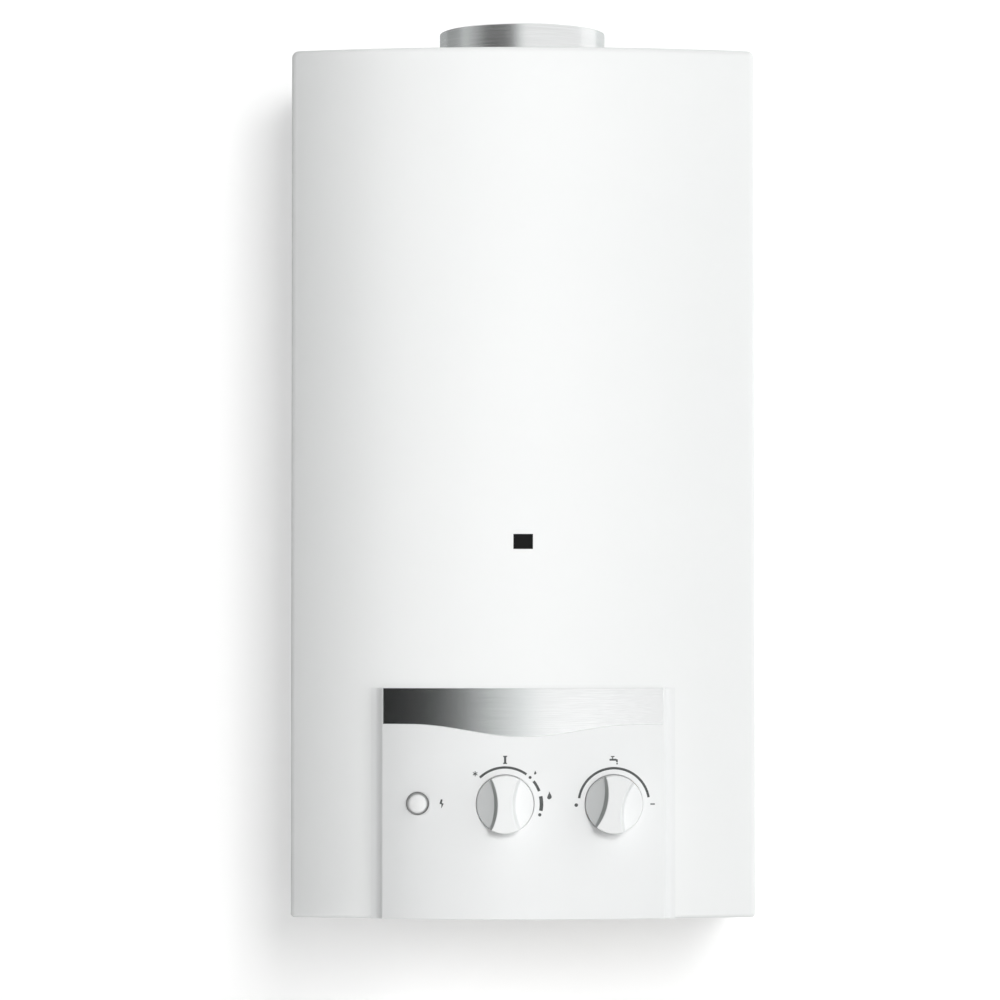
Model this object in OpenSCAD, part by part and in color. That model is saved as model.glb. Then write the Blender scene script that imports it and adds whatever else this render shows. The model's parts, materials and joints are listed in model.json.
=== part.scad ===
// Wall-hung instantaneous gas water heater with a bowed sheet casing.
// X points right, Y points into the wall and Z points up, with the wall's face at y = 0.
// Heights are counted from the casing's bottom edge, and hung() puts the wall holes at the origin.

/* [Casing] */
// Width of the casing
case_w = 310; // [300:1:360]
// Height of the casing
case_h = 580; // [560:1:700]
// Depth from the wall to the middle of the bowed front
case_d = 219; // [214:1:250]
// Depth of the front's bow from the corners to the middle
case_bow = 22; // [12:1:32]
// Thickness of the casing sheet
case_sheet = 1; // [0.8:0.1:1.4]
// Rounding between the front and the sides
case_corner_r = 5; // [3:0.5:9]
// Width of the return lip round the casing's bottom
case_lip = 12; // [11:1:20]

/* [Wall fixing] */
// Diameter of the two wall holes
wall_hole_d = 9; // [6:0.5:12]
// Distance between the two wall holes
wall_hole_pitch = 220; // [180:1:250]
// Height of the casing's top above the wall holes
wall_hole_drop = 35; // [25:1:60]
// Depth of the back plate's side flanges
plate_flange = 18; // [12:1:24]

/* [Control panel] */
// Width of the panel's face
panel_w = 186; // [180:1:210]
// Height of the panel
panel_h = 153; // [130:1:180]
// Rise of the panel's middle over the casing
panel_rise = 6; // [5.5:0.5:10]
// Radius of the panel's bow
panel_bow_r = 420; // [380:5:520]
// Wall of the moulded panel
panel_wall = 2.5; // [2:0.1:3]
// Radius of the hollow fillet at the panel's sides
panel_flare_r = 8; // [5:0.5:12]
// Height of the metal band at its ends
band_h = 24.5; // [18:0.5:30]
// Extra height of the band at its middle
band_bump = 8; // [2:0.5:12]
// Width over which the band grows
band_bump_w = 150; // [100:1:170]
// Thickness of the band
band_t = 0.8; // [0.6:0.1:1.2]

/* [Knobs] */
// Diameter of the knobs
knob_d = 38; // [32:1:42]
// Height of the knobs above the casing's bottom edge
knob_z = 76.5; // [72:0.5:84]
// Sideways place of the gas knob
gas_knob_x = -12; // [-18:1:-6]
// Distance from the gas knob to the water knob
knob_pitch = 72; // [70:1:78]
// Depth of the knobs' faces from the wall
knob_face = 243; // [240:1:250]
// Length of a knob behind the panel's face
knob_skirt = 20; // [16:1:24]
// Narrowest width of the grip across a knob
knob_waist = 10; // [8:0.5:14]
// Radius of the hollows beside the grip
knob_scoop_r = 36; // [30:1:50]
// Turn of the water knob at rest, clockwise
water_knob_turn = 10.6; // [0:0.1:20]
// Gap round the knobs in the panel
knob_gap = 0.7; // [0.5:0.1:1.2]
// Travel of the gas knob when it is pressed
knob_travel = 4; // [2:0.5:5]
// Diameter of the spindles
spindle_d = 6; // [5:0.5:7]

/* [Igniter] */
// Sideways place of the igniter button
button_x = -70; // [-74:1:-68]
// Diameter of the button
button_d = 14.5; // [12:0.5:17]
// Distance that the button stands out of the panel
button_out = 6; // [5.5:0.5:9]
// Gap round the button in the panel
button_gap = 0.6; // [0.4:0.1:1]
// Diameter of the piezo body
piezo_d = 18; // [16:1:20]
// Length of the piezo body
piezo_len = 36; // [30:1:38]

/* [Sight window] */
// Width of the window
sight_w = 13; // [10:0.5:18]
// Height of the window's opening
sight_h = 10; // [8:0.5:14]
// Height of the window above the casing's bottom edge
sight_z = 250; // [245:1:254]

/* [Flue] */
// Bore of the flue collar, which takes a 110 mm pipe
flue_bore = 111.5; // [100:0.5:116]
// Wall of the flue collar
flue_wall = 1.2; // [0.8:0.1:2]
// Distance of the flue's axis from the wall
flue_out = 110; // [105:1:115]
// Height of the collar above the casing's top
flue_rise = 23; // [15:1:60]
// Space between the hood and the casing's top
hood_gap = 20; // [10:1:30]

/* [Heat exchanger] */
// Space between the casing's side and the combustion chamber
side_space = 42; // [40:1:46]
// Space between the casing's front corner and the chamber
front_space = 34; // [33:1:40]
// Distance of the chamber from the wall
back_space = 36; // [34:1:40]
// Height of the combustion chamber with the fins
chamber_h = 160; // [150:1:180]
// Height of the fins
fin_h = 44; // [36:1:50]
// Distance from one fin to the next
fin_pitch = 5; // [4:0.5:10]
// Thickness of a fin
fin_t = 0.5; // [0.4:0.1:0.8]
// Outer diameter of the water pipes
pipe_d = 15; // [12:1:16]
// Wall of the pipes
pipe_wall = 1; // [0.8:0.1:1.2]
// Bend radius of the water and gas pipes
bend_r = 16; // [15:1:17]

/* [Burner] */
// Height of the burner's underside above the casing's bottom edge
burner_z = 166; // [164:1:170]
// Height of the burner frame
burner_h = 68; // [66:1:70]
// Distance from one burner blade to the next
blade_pitch = 18; // [17:1:24]
// Width of a burner blade
blade_w = 7; // [6:0.5:8]
// Outer diameter of the gas pipe
gas_pipe_d = 16; // [14:1:17]
// Diameter of the burner manifold
manifold_d = 20; // [18:1:22]

/* [Valves] */
// Distance of the valves' middle from the wall
valve_out = 106; // [103:1:108]
// Height of the gas spindle above the push rod
rod_drop = 26; // [25:0.5:28]
// Bore of the gas tap
tap_d = 16; // [14:1:18]
// Diameter of the push rod
rod_d = 5; // [4:0.5:6]
// Opening stroke of the push rod
rod_travel = 4; // [2:0.5:5]
// Diameter of the diaphragm housing
housing_d = 70; // [68:1:74]
// Thickness of the rubber diaphragm
diaphragm_t = 1.6; // [1.2:0.1:2.4]
// Thread diameter of the water and gas connections
connector_d = 20.955; // [16:0.005:22]
// Height of the connections' ends above the casing's bottom edge
connector_end = 6; // [3:0.5:8]
// Sideways place of the hot outlet
hot_x = -95; // [-98:1:-93]

/* [Clearances] */
// Gap round pieces that move or slide past each other
run_gap = 0.3; // [0.2:0.05:0.4]
// Gap round pieces that are fixed in a hole
seat_gap = 0.1; // [0.05:0.05:0.15]

/* [Hidden] */
$fn = 96;
eps = 0.01;
// Overshoot of a cut past the face that it opens
cut = 1;
hang_z = case_h - wall_hole_drop;

// The bowed front is an arc through the corners and the middle
half_w = case_w / 2;
bow_r = (half_w * half_w + case_bow * case_bow) / (2 * case_bow);
bow_y = bow_r - case_d;
function case_front(x) = bow_y - sqrt(bow_r * bow_r - x * x);
case_back = -case_sheet;
plate_t = case_sheet;
plate_hw = half_w - case_sheet - run_gap;
plate_top = case_h - case_sheet - run_gap;
tab_reach = 10;
lip_hole_d = 4.4;
lip_screw_y = -18;
screw_d = 4;
screw_head_d = 8;
screw_head_h = 2.2;
screw_len = 8;

// Panel face, as an arc with its middle panel_rise in front of the casing
panel_hw = panel_w / 2;
panel_y = panel_bow_r - case_d - panel_rise;
function panel_front(x) = panel_y - sqrt(panel_bow_r * panel_bow_r - x * x);
panel_flare_x = panel_hw + panel_flare_r;
panel_flare_edge = 0.6;
knob_hole_d = knob_d + 2 * knob_gap;
case_hole_rim = 5;
knob_case_hole_d = knob_d + 2 * case_hole_rim;
button_case_hole_d = button_d + 2 * case_hole_rim;
button_hole_d = button_d + 2 * button_gap;
water_knob_x = gas_knob_x + knob_pitch;
knob_root = case_d + panel_rise - knob_skirt;
knob_len = knob_face - knob_root;
knob_hub_d = spindle_d + 6;
knob_cap_t = 10;
knob_web_t = 4;
knob_shell = 2.5;
scoop_drop = 7;
scoop_slope = 28;
spindle_front = -(knob_face - knob_cap_t - cut);

// Sight window with its pane and frame
sight_stand = 0.4;
sight_back = -(case_d - case_sheet - sight_stand);
pane_t = 2;
pane_lap = 4.5;
frame_lap = 5;
frame_back_t = 2;
sight_rim = 1;
sight_flare = 3;

// Combustion chamber, burner and hood, stacked upwards
chamber_hw = half_w - case_sheet - side_space;
chamber_y0 = -(case_d - case_bow - case_sheet - front_space);
chamber_y1 = -back_space;
burner_top = burner_z + burner_h;
chamber_z0 = burner_top + run_gap;
chamber_z1 = chamber_z0 + chamber_h;
chamber_sheet = 1;
fin_z0 = chamber_z1 - fin_h;
fin_inset = 0.3;
fin_edge = 2;
fin_side = floor((chamber_hw - chamber_sheet - fin_edge) / fin_pitch);
tube_z = fin_z0 + fin_h / 2;
tube_edge = 26;
tube_count = 4;
tube_pitch = floor((chamber_y1 - chamber_y0 - 2 * tube_edge) / (tube_count - 1));
function tube_y(i) = chamber_y1 - tube_edge - i * tube_pitch;
tube_stub = 1;
tube_end = chamber_hw + tube_stub;
bend_run = 2;
bend_x = tube_end + bend_r + bend_run;
coil_rise = 66;
coil_z = chamber_z0 + coil_rise;
// The gap keeps the bend clear of the chamber's corner, in steps of half a millimetre
coil_step = 0.5;
coil_gap = coil_step * ceil(((bend_r - pipe_d / 2) * (1 - sqrt(0.5)) + run_gap) / coil_step);
coil_x = chamber_hw + coil_gap + pipe_d / 2;
coil_y = chamber_y1 + coil_gap + pipe_d / 2;
coil_run = 6;
coil_start_z = coil_z - bend_r - coil_run;
hood_z0 = chamber_z1 + run_gap;
hood_throat_h = 55;
hood_z1 = hood_z0 + hood_throat_h;
hood_top = case_h - hood_gap;
hood_flare = 12;
hood_lap = 6;
hood_hw = chamber_hw + hood_flare;
hood_y0 = min(-(flue_out + flue_bore / 2 + hood_flare), chamber_y0 - hood_lap);
hood_y1 = chamber_y1 + hood_lap;
hood_slot_h = 18;
hood_slot_rise = 12;
hood_slot_z = hood_z1 + hood_slot_rise;
hood_slot_edge = 15;
flue_d = flue_bore + 2 * flue_wall;
flue_flange = 6;
notch_gap = 4;

// Burner blades stand in rows across the frame, with a jet in front of each
blade_side = floor((chamber_hw - chamber_sheet - blade_w) / blade_pitch);
blade_end_gap = 12;
blade_rise = 10;
blade_drop = 6;
blade_y0 = chamber_y0 + blade_end_gap;
blade_y1 = chamber_y1 - blade_end_gap;
blade_z0 = burner_z + blade_rise;
blade_z1 = burner_top - blade_drop;
blade_slots = 9;
slot_w = 1.6;
slot_h = 5;
venturi_len = 40;
blade_wall = 1;
frame_t = 1.2;
rail_h = 4;
rail_w = 6;
rail_front = 8;
rail_back = 14;
jet_rise = 18;
jet_z = burner_z + jet_rise;
jet_d = 6;
jet_gap = 2;
manifold_gap = 4;
manifold_wall = 2;
manifold_end_t = 3;
manifold_short = 8;
manifold_y = chamber_y0 - manifold_gap - manifold_d / 2;
manifold_hw = chamber_hw - manifold_short;
manifold_bore = manifold_d - 2 * manifold_wall;
boss_h = 22;
boss_wall = 3;
boss_socket = 10;
boss_z0 = jet_z - boss_h;

// Gas valve body, round the gas knob's axis and the push rod's axis
valve_y = -valve_out;
rod_z = knob_z - rod_drop;
gas_hw = 30;
gas_hd = 44;
gas_floor = 17;
gas_roof = 23;
gas_port_side = 19;
gas_x0 = gas_knob_x - gas_hw;
gas_x1 = gas_knob_x + gas_hw;
gas_y0 = valve_y - gas_hd;
gas_y1 = valve_y + gas_hd;
gas_z0 = rod_z - gas_floor;
gas_z1 = knob_z + gas_roof;
gas_port_x = gas_knob_x + gas_port_side;
gas_port_d = 12;
gas_inlet_out = 24;
gas_inlet_y = valve_y - gas_inlet_out;
gas_inlet_bore = 14;
seat_side = 10;
seat_t = 4;
cavity_len = 10;
seat_x0 = gas_knob_x + seat_side;
seat_x1 = seat_x0 + seat_t;
cavity_x1 = seat_x1 + cavity_len;
gas_bore_d = 26;
cavity_d = 20;
cross_port_d = 8;
cross_port_side = 2;
disc_d = 22;
disc_t = 3;
disc_guide_d = 8;
disc_guide = 4;
cap_plug = 6;
cap_rim = 4;
cap_x = gas_x0 + cap_plug;
tap_depth = 8;
tap_end = valve_y + tap_depth;
plunger_hole = 14;
magnet_y = tap_end + plunger_hole - cut;
magnet_d = 18;
magnet_rim = 1.5;
magnet_stand = 22;
magnet_tip = 4;
magnet_tip_d = 6;
magnet_play = 2;
plunger_end = magnet_y + cut;
plunger_d = 5;
plug_d = tap_d - 2 * run_gap;
plug_sink = 4;
plug_len = 28;
plug_y0 = gas_y0 + plug_sink;
plug_y1 = plug_y0 + plug_len;
plunger_flange_t = 2;
plunger_flange_d = tap_d - 2;
spring_wire = 1.2;
plunger_turns = 4;
disc_turns = 6;
button_wire = 1;
button_turns = 5;
bonnet_t = 4;
bonnet_hw = 18;
bonnet_neck = 6;
bonnet_neck_d = 14;
pilot_port_side = 18;
pilot_port_out = 34;
pilot_port_x = gas_knob_x - pilot_port_side;
pilot_port_y = valve_y - pilot_port_out;

// Water valve: cover, diaphragm and body stand in a row along the push rod
neck_t = 4;
neck_hw = 20;
cover_len = 18;
cover_neck = 6;
housing_rim = 8;
cover_x0 = gas_x1;
cover_x1 = cover_x0 + cover_len;
cover_face = cover_x0 + cover_neck;
water_cavity_d = housing_d - 2 * housing_rim;
body_x0 = cover_x1 + diaphragm_t;
rod_plate_gap = 4;
rod_plate_d = water_cavity_d - 2 * rod_plate_gap;
rod_plate_t = 2.5;
rod_plate_x = cover_x1 - run_gap - rod_plate_t;
rod_stop = 1.2;
water_cavity_x = rod_plate_x - rod_travel - rod_stop;
body_cavity = 5;
body_port_d = 10;
block_left = 14;
block_right = 30;
block_hd = 28;
block_floor = 22.5;
block_roof = 20;
flange_lap = 2;
block_x0 = water_knob_x - block_left;
block_x1 = water_knob_x + block_right;
block_y0 = valve_y - block_hd;
block_y1 = valve_y + block_hd;
block_z0 = rod_z - block_floor;
block_z1 = knob_z + block_roof;
flange_x1 = block_x0 + flange_lap;
water_in_side = 12;
water_out_side = 18;
water_in_x = water_knob_x + water_in_side;
water_in_bore = 15;
water_in_rise = 8;
water_out_x = water_knob_x + water_out_side;
water_out_bore = pipe_d - 2 * pipe_wall;
needle_bore = 12;
needle_front = 6;
needle_back = 5;
needle_depth = 12;
needle_y0 = valve_y - needle_front;
needle_y1 = valve_y + needle_back;
needle_tip = 5;
needle_tip_d = 4;
needle_socket = 3;
spindle_step = 1;
bypass_d = 5;
bypass_y = valve_y + needle_depth - 4;
strainer_t = 1.4;
strainer_drop = 6;
strainer_cap = 2;
bolt_circle_r = housing_d / 2 - housing_rim / 2;
bolt_count = 6;
bolt_sink = 6;
bolt_head_d = 7;
bolt_head_h = 3;
gland_h = 10;
gland_hex = 22;
connector_bore = 14;
connector_hex = 31;
hex_h = 8;
hot_y = tube_y(tube_count - 1);
hot_stem = 26;
hot_body_h = 30;
hot_body_wall = 4.5;
hot_z0 = connector_end + hot_stem;
hot_z1 = hot_z0 + hot_body_h;
hot_body_d = pipe_d + 2 * hot_body_wall;
hot_socket = 12;
hot_arm_rise = 12;
hot_arm_z = hot_z0 + hot_arm_rise;
nut_h = 10;
nut_hex = 27;
strap_t = 2;
strap_w = 20;
strap_h = 22;
strap_rise = 4;
gas_strap_edge = 2;
water_strap_edge = 12;
hot_arm_hw = 16;

// Piezo igniter behind its button
button_front = panel_front(button_x) - button_out;
button_len = 18;
button_back = button_front + button_len;
button_stem_d = 6.2;
button_stem = 31;
piezo_gap = 15;
piezo_y0 = button_back + piezo_gap;
piezo_y1 = piezo_y0 + piezo_len;
piezo_collar = 14;
piezo_plate_y = piezo_y0 + piezo_collar;
piezo_plate_t = 2;
piezo_nut_t = 4;
piezo_terminal = 4;
piezo_terminal_d = 8;
piezo_stroke = 10;
piezo_margin = 5;
piezo_plate_hh = piezo_d / 2 + 3;
piezo_fold = 6;

// Pilot group between the burner blades
pilot_x = blade_pitch / 2;
electrode_x = -blade_pitch / 2;
thermo_x = 3 * blade_pitch / 2;
pilot_drop = 14;
pilot_z = burner_top - pilot_drop;
pilot_d = 8;
nozzle_step = 1;
ceramic_d = 6;
pilot_reach = 6;
pilot_over = 2;
pilot_stub = 10;
pilot_tip_y = blade_y0 + pilot_reach;
pilot_tip_z = burner_top + pilot_over;
pilot_back = chamber_y0 - pilot_stub;
spark_gap = 3;
thermo_gap = 1.5;
pilot_plate_t = 1.5;
lead_d = 5;
thermo_lead_d = 2.5;
pilot_pipe_d = 4;
pilot_pipe_wall = 0.8;
lead_bend = 8;
electrode_wire_d = 2;
thermo_tip_d = 4;
pilot_margin = 13;
pilot_margin_top = 11;

// Spill sensor on the hood and straps on the chamber
spill_rise = 14;
spill_plate_t = 1;
spill_can_d = 13;
spill_can_h = 6;
spill_tab_h = 7;
spill_tab_side = 4;
spill_tab_t = 0.8;
spill_tab_hh = 3;
spill_ear = 14;
chamber_strap_rise = 14;
chamber_strap_in = 45;

// Pipe and lead routes
cold_rise = 34;
hot_rise = 34;
gas_rise = 37;
cold_route = [
    [water_out_x, valve_y, block_z1],
    [water_out_x, valve_y, block_z1 + cold_rise],
    [coil_x, valve_y, block_z1 + cold_rise],
    [coil_x, valve_y, coil_start_z]
];
coil_route = [
    [coil_x, valve_y, coil_start_z],
    [coil_x, valve_y, coil_z],
    [coil_x, coil_y, coil_z],
    [-bend_x, coil_y, coil_z],
    [-bend_x, coil_y, tube_z],
    [-bend_x, tube_y(0), tube_z],
    [-tube_end, tube_y(0), tube_z]
];
hot_route = [
    [-tube_end, hot_y, tube_z],
    [-bend_x, hot_y, tube_z],
    [-bend_x, hot_y, hot_z1 + hot_rise],
    [hot_x, hot_y, hot_z1 + hot_rise],
    [hot_x, hot_y, hot_z1 - hot_socket]
];
gas_route = [
    [gas_port_x, valve_y, gas_z1],
    [gas_port_x, valve_y, gas_z1 + gas_rise],
    [gas_port_x, manifold_y, gas_z1 + gas_rise],
    [gas_port_x, manifold_y, boss_z0 + boss_socket]
];
turn_x = tube_end + tube_pitch / 2 + tube_stub;
exchanger_route = [
    [-tube_end, tube_y(0), tube_z],
    [turn_x, tube_y(0), tube_z],
    [turn_x, tube_y(1), tube_z],
    [-turn_x, tube_y(1), tube_z],
    [-turn_x, tube_y(2), tube_z],
    [turn_x, tube_y(2), tube_z],
    [turn_x, tube_y(3), tube_z],
    [-tube_end, tube_y(3), tube_z]
];
lane_gap = 10;
pilot_lane_rise = 28;
pilot_lane_y = manifold_y - manifold_d / 2 - lane_gap;
pilot_route = [
    [pilot_x, pilot_back, pilot_z],
    [pilot_x, pilot_lane_y, pilot_z],
    [pilot_x, pilot_lane_y, gas_z1 + pilot_lane_rise],
    [pilot_port_x, pilot_lane_y, gas_z1 + pilot_lane_rise],
    [pilot_port_x, pilot_port_y, gas_z1 + pilot_lane_rise],
    [pilot_port_x, pilot_port_y, gas_z1]
];
thermo_step = 4;
thermo_lane_rise = 14;
thermo_lane_y = pilot_lane_y - thermo_step;
thermo_rear_y = -18;
magnet_end = gas_y1 + magnet_stand;
thermo_route = [
    [thermo_x, pilot_back, pilot_z],
    [thermo_x, thermo_lane_y, pilot_z],
    [thermo_x, thermo_lane_y, gas_z1 + thermo_lane_rise],
    [thermo_x, thermo_rear_y, gas_z1 + thermo_lane_rise],
    [gas_knob_x, thermo_rear_y, gas_z1 + thermo_lane_rise],
    [gas_knob_x, thermo_rear_y, knob_z],
    [gas_knob_x, magnet_end, knob_z]
];
lead_step = 3;
lead_lane_rise = 45;
lead_loop = 14;
lead_lane_y = thermo_lane_y - lead_step;
lead_rear_y = piezo_y1 + piezo_terminal + lead_loop;
ignition_route = [
    [electrode_x, pilot_back, pilot_z],
    [electrode_x, lead_lane_y, pilot_z],
    [electrode_x, lead_lane_y, gas_z1 + lead_lane_rise],
    [button_x, lead_lane_y, gas_z1 + lead_lane_rise],
    [button_x, lead_rear_y, gas_z1 + lead_lane_rise],
    [button_x, lead_rear_y, knob_z],
    [button_x, piezo_y1 + piezo_terminal, knob_z]
];

// Moves a piece from heights above the casing's bottom edge to the wall holes' frame
module hung() {
    translate([0, 0, -hang_z]) children();
}

// A block between two corners
module block(x0, x1, y0, y1, z0, z1) {
    translate([x0, y0, z0]) cube([x1 - x0, y1 - y0, z1 - z0]);
}

// Round bars along the three axes
module bar_x(d, x0, x1, y, z) {
    translate([x0, y, z]) rotate([0, 90, 0]) cylinder(d = d, h = x1 - x0);
}
module bar_y(d, y0, y1, x, z) {
    translate([x, y0, z]) rotate([-90, 0, 0]) cylinder(d = d, h = y1 - y0);
}
module bar_z(d, z0, z1, x, y) {
    translate([x, y, z0]) cylinder(d = d, h = z1 - z0);
}

// Six-sided prisms along Y and Z, given by the distance across the corners
module hex_y(d, y0, y1, x, z) {
    translate([x, y0, z]) rotate([-90, 0, 0]) cylinder(d = d, h = y1 - y0, $fn = 6);
}
module hex_z(d, z0, z1, x, y) {
    translate([x, y, z0]) cylinder(d = d, h = z1 - z0, $fn = 6);
}

// A four-sided sheet duct, open at the top and the bottom
module duct(hw, y0, y1, z0, z1, t) {
    difference() {
        block(-hw, hw, y0, y1, z0, z1);
        block(-hw + t, hw - t, y0 + t, y1 - t, z0 - cut, z1 + cut);
    }
}

// A tube along a route of points, with a bend of one radius at each corner
function unit(v) = v / norm(v);
function leg(route, i) = unit(route[i + 1] - route[i]);
function turn_angle(u, v) = acos(min(1, max(-1, u * v)));
function bend_reach(route, i, r) =
    i == 0 || i == len(route) - 1 ? 0 : r * tan(turn_angle(leg(route, i - 1), leg(route, i)) / 2);
function columns(e1, e2, e3, c) = [
    [e1.x, e2.x, e3.x, c.x],
    [e1.y, e2.y, e3.y, c.y],
    [e1.z, e2.z, e3.z, c.z],
    [0, 0, 0, 1]
];
module tube_section(d, wall) {
    difference() {
        circle(d = d);
        if (wall > 0) circle(d = d - 2 * wall);
    }
}
module bent_tube(route, d, wall, r) {
    last = len(route) - 1;
    for (i = [0 : last - 1]) {
        u = leg(route, i);
        start = route[i] + u * bend_reach(route, i, r);
        run = norm(route[i + 1] - route[i]) - bend_reach(route, i, r) - bend_reach(route, i + 1, r);
        e1 = unit(cross(abs(u.z) < 0.9 ? [0, 0, 1] : [1, 0, 0], u));
        if (run > eps)
            multmatrix(columns(e1, cross(u, e1), u, start)) linear_extrude(run) tube_section(d, wall);
    }
    for (i = [1 : last - 1]) {
        u = leg(route, i - 1);
        v = leg(route, i);
        inward = unit(v - u * (u * v));
        centre = route[i] - u * bend_reach(route, i, r) + inward * r;
        multmatrix(columns(-inward, u, cross(-inward, u), centre))
            rotate_extrude(angle = turn_angle(u, v)) translate([r, 0]) tube_section(d, wall);
    }
}

// A coil spring along +Z from 0 to length, as one swept wire of six sides and eight rings a turn
spring_sides = 6;
spring_rings = 8;
function spring_point(mean_d, wire, length, turns, k) =
    let (a = 360 * k / spring_rings, rise = (length - wire) * k / (turns * spring_rings))
    [mean_d / 2 * cos(a), mean_d / 2 * sin(a), wire / 2 + rise];
function spring_gap(mean_d, wire, length, turns) =
    min([for (k = [0 : (turns - 1) * spring_rings])
        norm(spring_point(mean_d, wire, length, turns, k + spring_rings)
            - spring_point(mean_d, wire, length, turns, k))]) - wire;
module coil_spring(mean_d, wire, length, turns) {
    count = turns * spring_rings;
    points = [
        for (k = [0 : count], j = [0 : spring_sides - 1])
            let (
                a = 360 * k / spring_rings,
                b = 360 * j / spring_sides,
                p = spring_point(mean_d, wire, length, turns, k),
                reach = wire / 2 * cos(b)
            )
            p + [reach * cos(a), reach * sin(a), wire / 2 * sin(b)]
    ];
    sides = [
        for (k = [0 : count - 1], j = [0 : spring_sides - 1], half = [0, 1])
            let (
                a = k * spring_sides + j,
                b = k * spring_sides + (j + 1) % spring_sides,
                c = a + spring_sides,
                d = b + spring_sides
            )
            half == 0 ? [a, b, d] : [a, d, c]
    ];
    first_cap = [for (j = [1 : spring_sides - 2]) [0, j + 1, j]];
    end = count * spring_sides;
    last_cap = [for (j = [1 : spring_sides - 2]) [end, end + j, end + j + 1]];
    echo(least_gap_mm = spring_gap(mean_d, wire, length, turns));
    polyhedron(points, concat(sides, first_cap, last_cap));
}

// Plan of the casing, inset by a distance and run back to a depth
module case_plan(inset, back) {
    hw = half_w - inset;
    r = bow_r - inset;
    corner = max(case_corner_r - inset, case_sheet / 2);
    cx = hw - corner;
    cy = bow_y - sqrt((r - corner) * (r - corner) - cx * cx);
    reach = r / (r - corner);
    tip = [cx * reach, bow_y + (cy - bow_y) * reach];
    intersection() {
        translate([0, bow_y]) circle(r = r, $fn = 720);
        polygon([
            [-cx, cy], [-tip.x, tip.y], [-tip.x, -case_d - 1],
            [tip.x, -case_d - 1], [tip.x, tip.y], [cx, cy]
        ]);
    }
    translate([-hw, cy]) square([2 * hw, back - cy]);
    for (s = [-1, 1]) translate([s * cx, cy]) circle(r = corner);
}

// Sheet plate at the wall with folded side flanges, bottom tabs and two wall holes
module back_plate() {
    color("gainsboro") hung() difference() {
        union() {
            block(-plate_hw, plate_hw, -plate_t, 0, 0, plate_top);
            for (s = [-1, 1]) {
                block(s > 0 ? plate_hw - plate_t : -plate_hw, s > 0 ? plate_hw : plate_t - plate_hw,
                    -plate_flange, -plate_t, case_sheet, plate_top);
                block(s > 0 ? half_w - case_lip : -plate_hw, s > 0 ? plate_hw : case_lip - half_w,
                    -plate_flange - tab_reach, -plate_t, case_sheet, case_sheet + plate_t);
            }
        }
        for (s = [-1, 1]) {
            bar_y(wall_hole_d, -plate_t - cut, cut, s * wall_hole_pitch / 2, hang_z);
            bar_z(screw_d + 2 * seat_gap, 0, case_sheet + plate_t + cut,
                s * (half_w - case_lip / 2), lip_screw_y);
        }
    }
}

// Folded front and sides with the holes for the window, knobs and button
module front_casing() {
    color("white") hung() difference() {
        union() {
            linear_extrude(case_h - case_sheet) difference() {
                case_plan(0, case_back);
                case_plan(case_sheet, 1);
            }
            linear_extrude(case_sheet) difference() {
                case_plan(0, case_back);
                intersection() {
                    translate([0, bow_y]) circle(r = bow_r - case_lip, $fn = 720);
                    translate([case_lip - half_w, -case_d]) square([case_w - 2 * case_lip, case_d + 1]);
                }
            }
        }
        block(-sight_w / 2, sight_w / 2, -case_d - cut, -case_d + case_bow / 2,
            sight_z - sight_h / 2, sight_z + sight_h / 2);
        for (x = [gas_knob_x, water_knob_x])
            bar_y(knob_case_hole_d, -case_d - cut, -case_d + case_bow, x, knob_z);
        bar_y(button_case_hole_d, -case_d - cut, -case_d + case_bow, button_x, knob_z);
        for (s = [-1, 1])
            bar_z(lip_hole_d, -cut, case_sheet + cut, s * (half_w - case_lip / 2), lip_screw_y);
    }
}

// Top sheet with a notch that lets the casing pull forward past the flue
module casing_top() {
    notch_r = flue_d / 2 + notch_gap;
    color("white") hung() translate([0, 0,
        case_h - case_sheet]) linear_extrude(case_sheet) difference() {
        case_plan(0, case_back);
        translate([0, -flue_out]) circle(r = notch_r);
        translate([-notch_r, -flue_out]) square([2 * notch_r, flue_out + 1]);
    }
}

// Two screws up through the lip into the back plate's tabs
module casing_screws() {
    color("silver") hung() for (s = [-1, 1]) {
        x = s * (half_w - case_lip / 2);
        bar_z(screw_head_d, -screw_head_h, 0, x, lip_screw_y);
        bar_z(screw_d, 0, screw_len, x, lip_screw_y);
    }
}

// Moulded panel that stands on the bowed front, hollow behind, with hollow fillets at its sides
module control_panel() {
    edge_y = panel_front(panel_hw);
    flare_y = case_front(panel_flare_x) - panel_flare_edge - panel_flare_r;
    color("whitesmoke") hung() difference() {
        linear_extrude(panel_h) difference() {
            union() {
                intersection() {
                    translate([0, panel_y]) circle(r = panel_bow_r, $fn = 720);
                    translate([-panel_hw, -case_d - panel_rise - 1]) square([panel_w,
                        case_bow + panel_rise]);
                }
                for (s = [-1, 1]) difference() {
                    translate([s > 0 ? panel_hw - 1 : -panel_flare_x, edge_y])
                        square([panel_flare_r + 1, case_bow]);
                    translate([s * panel_flare_x, flare_y]) circle(r = panel_flare_r);
                }
            }
            translate([0, bow_y]) circle(r = bow_r + seat_gap, $fn = 720);
        }
        translate([0, 0, panel_wall]) linear_extrude(panel_h - 2 * panel_wall) intersection() {
            translate([0, panel_y]) circle(r = panel_bow_r - panel_wall, $fn = 720);
            translate([panel_wall - panel_hw, -case_d - panel_rise])
                square([panel_w - 2 * panel_wall, case_bow + panel_rise]);
        }
        for (x = [gas_knob_x, water_knob_x])
            bar_y(knob_hole_d, -case_d - panel_rise - cut, -case_d + case_bow, x, knob_z);
        bar_y(button_hole_d, -case_d - panel_rise - cut, -case_d + case_bow, button_x, knob_z);
    }
}

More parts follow.
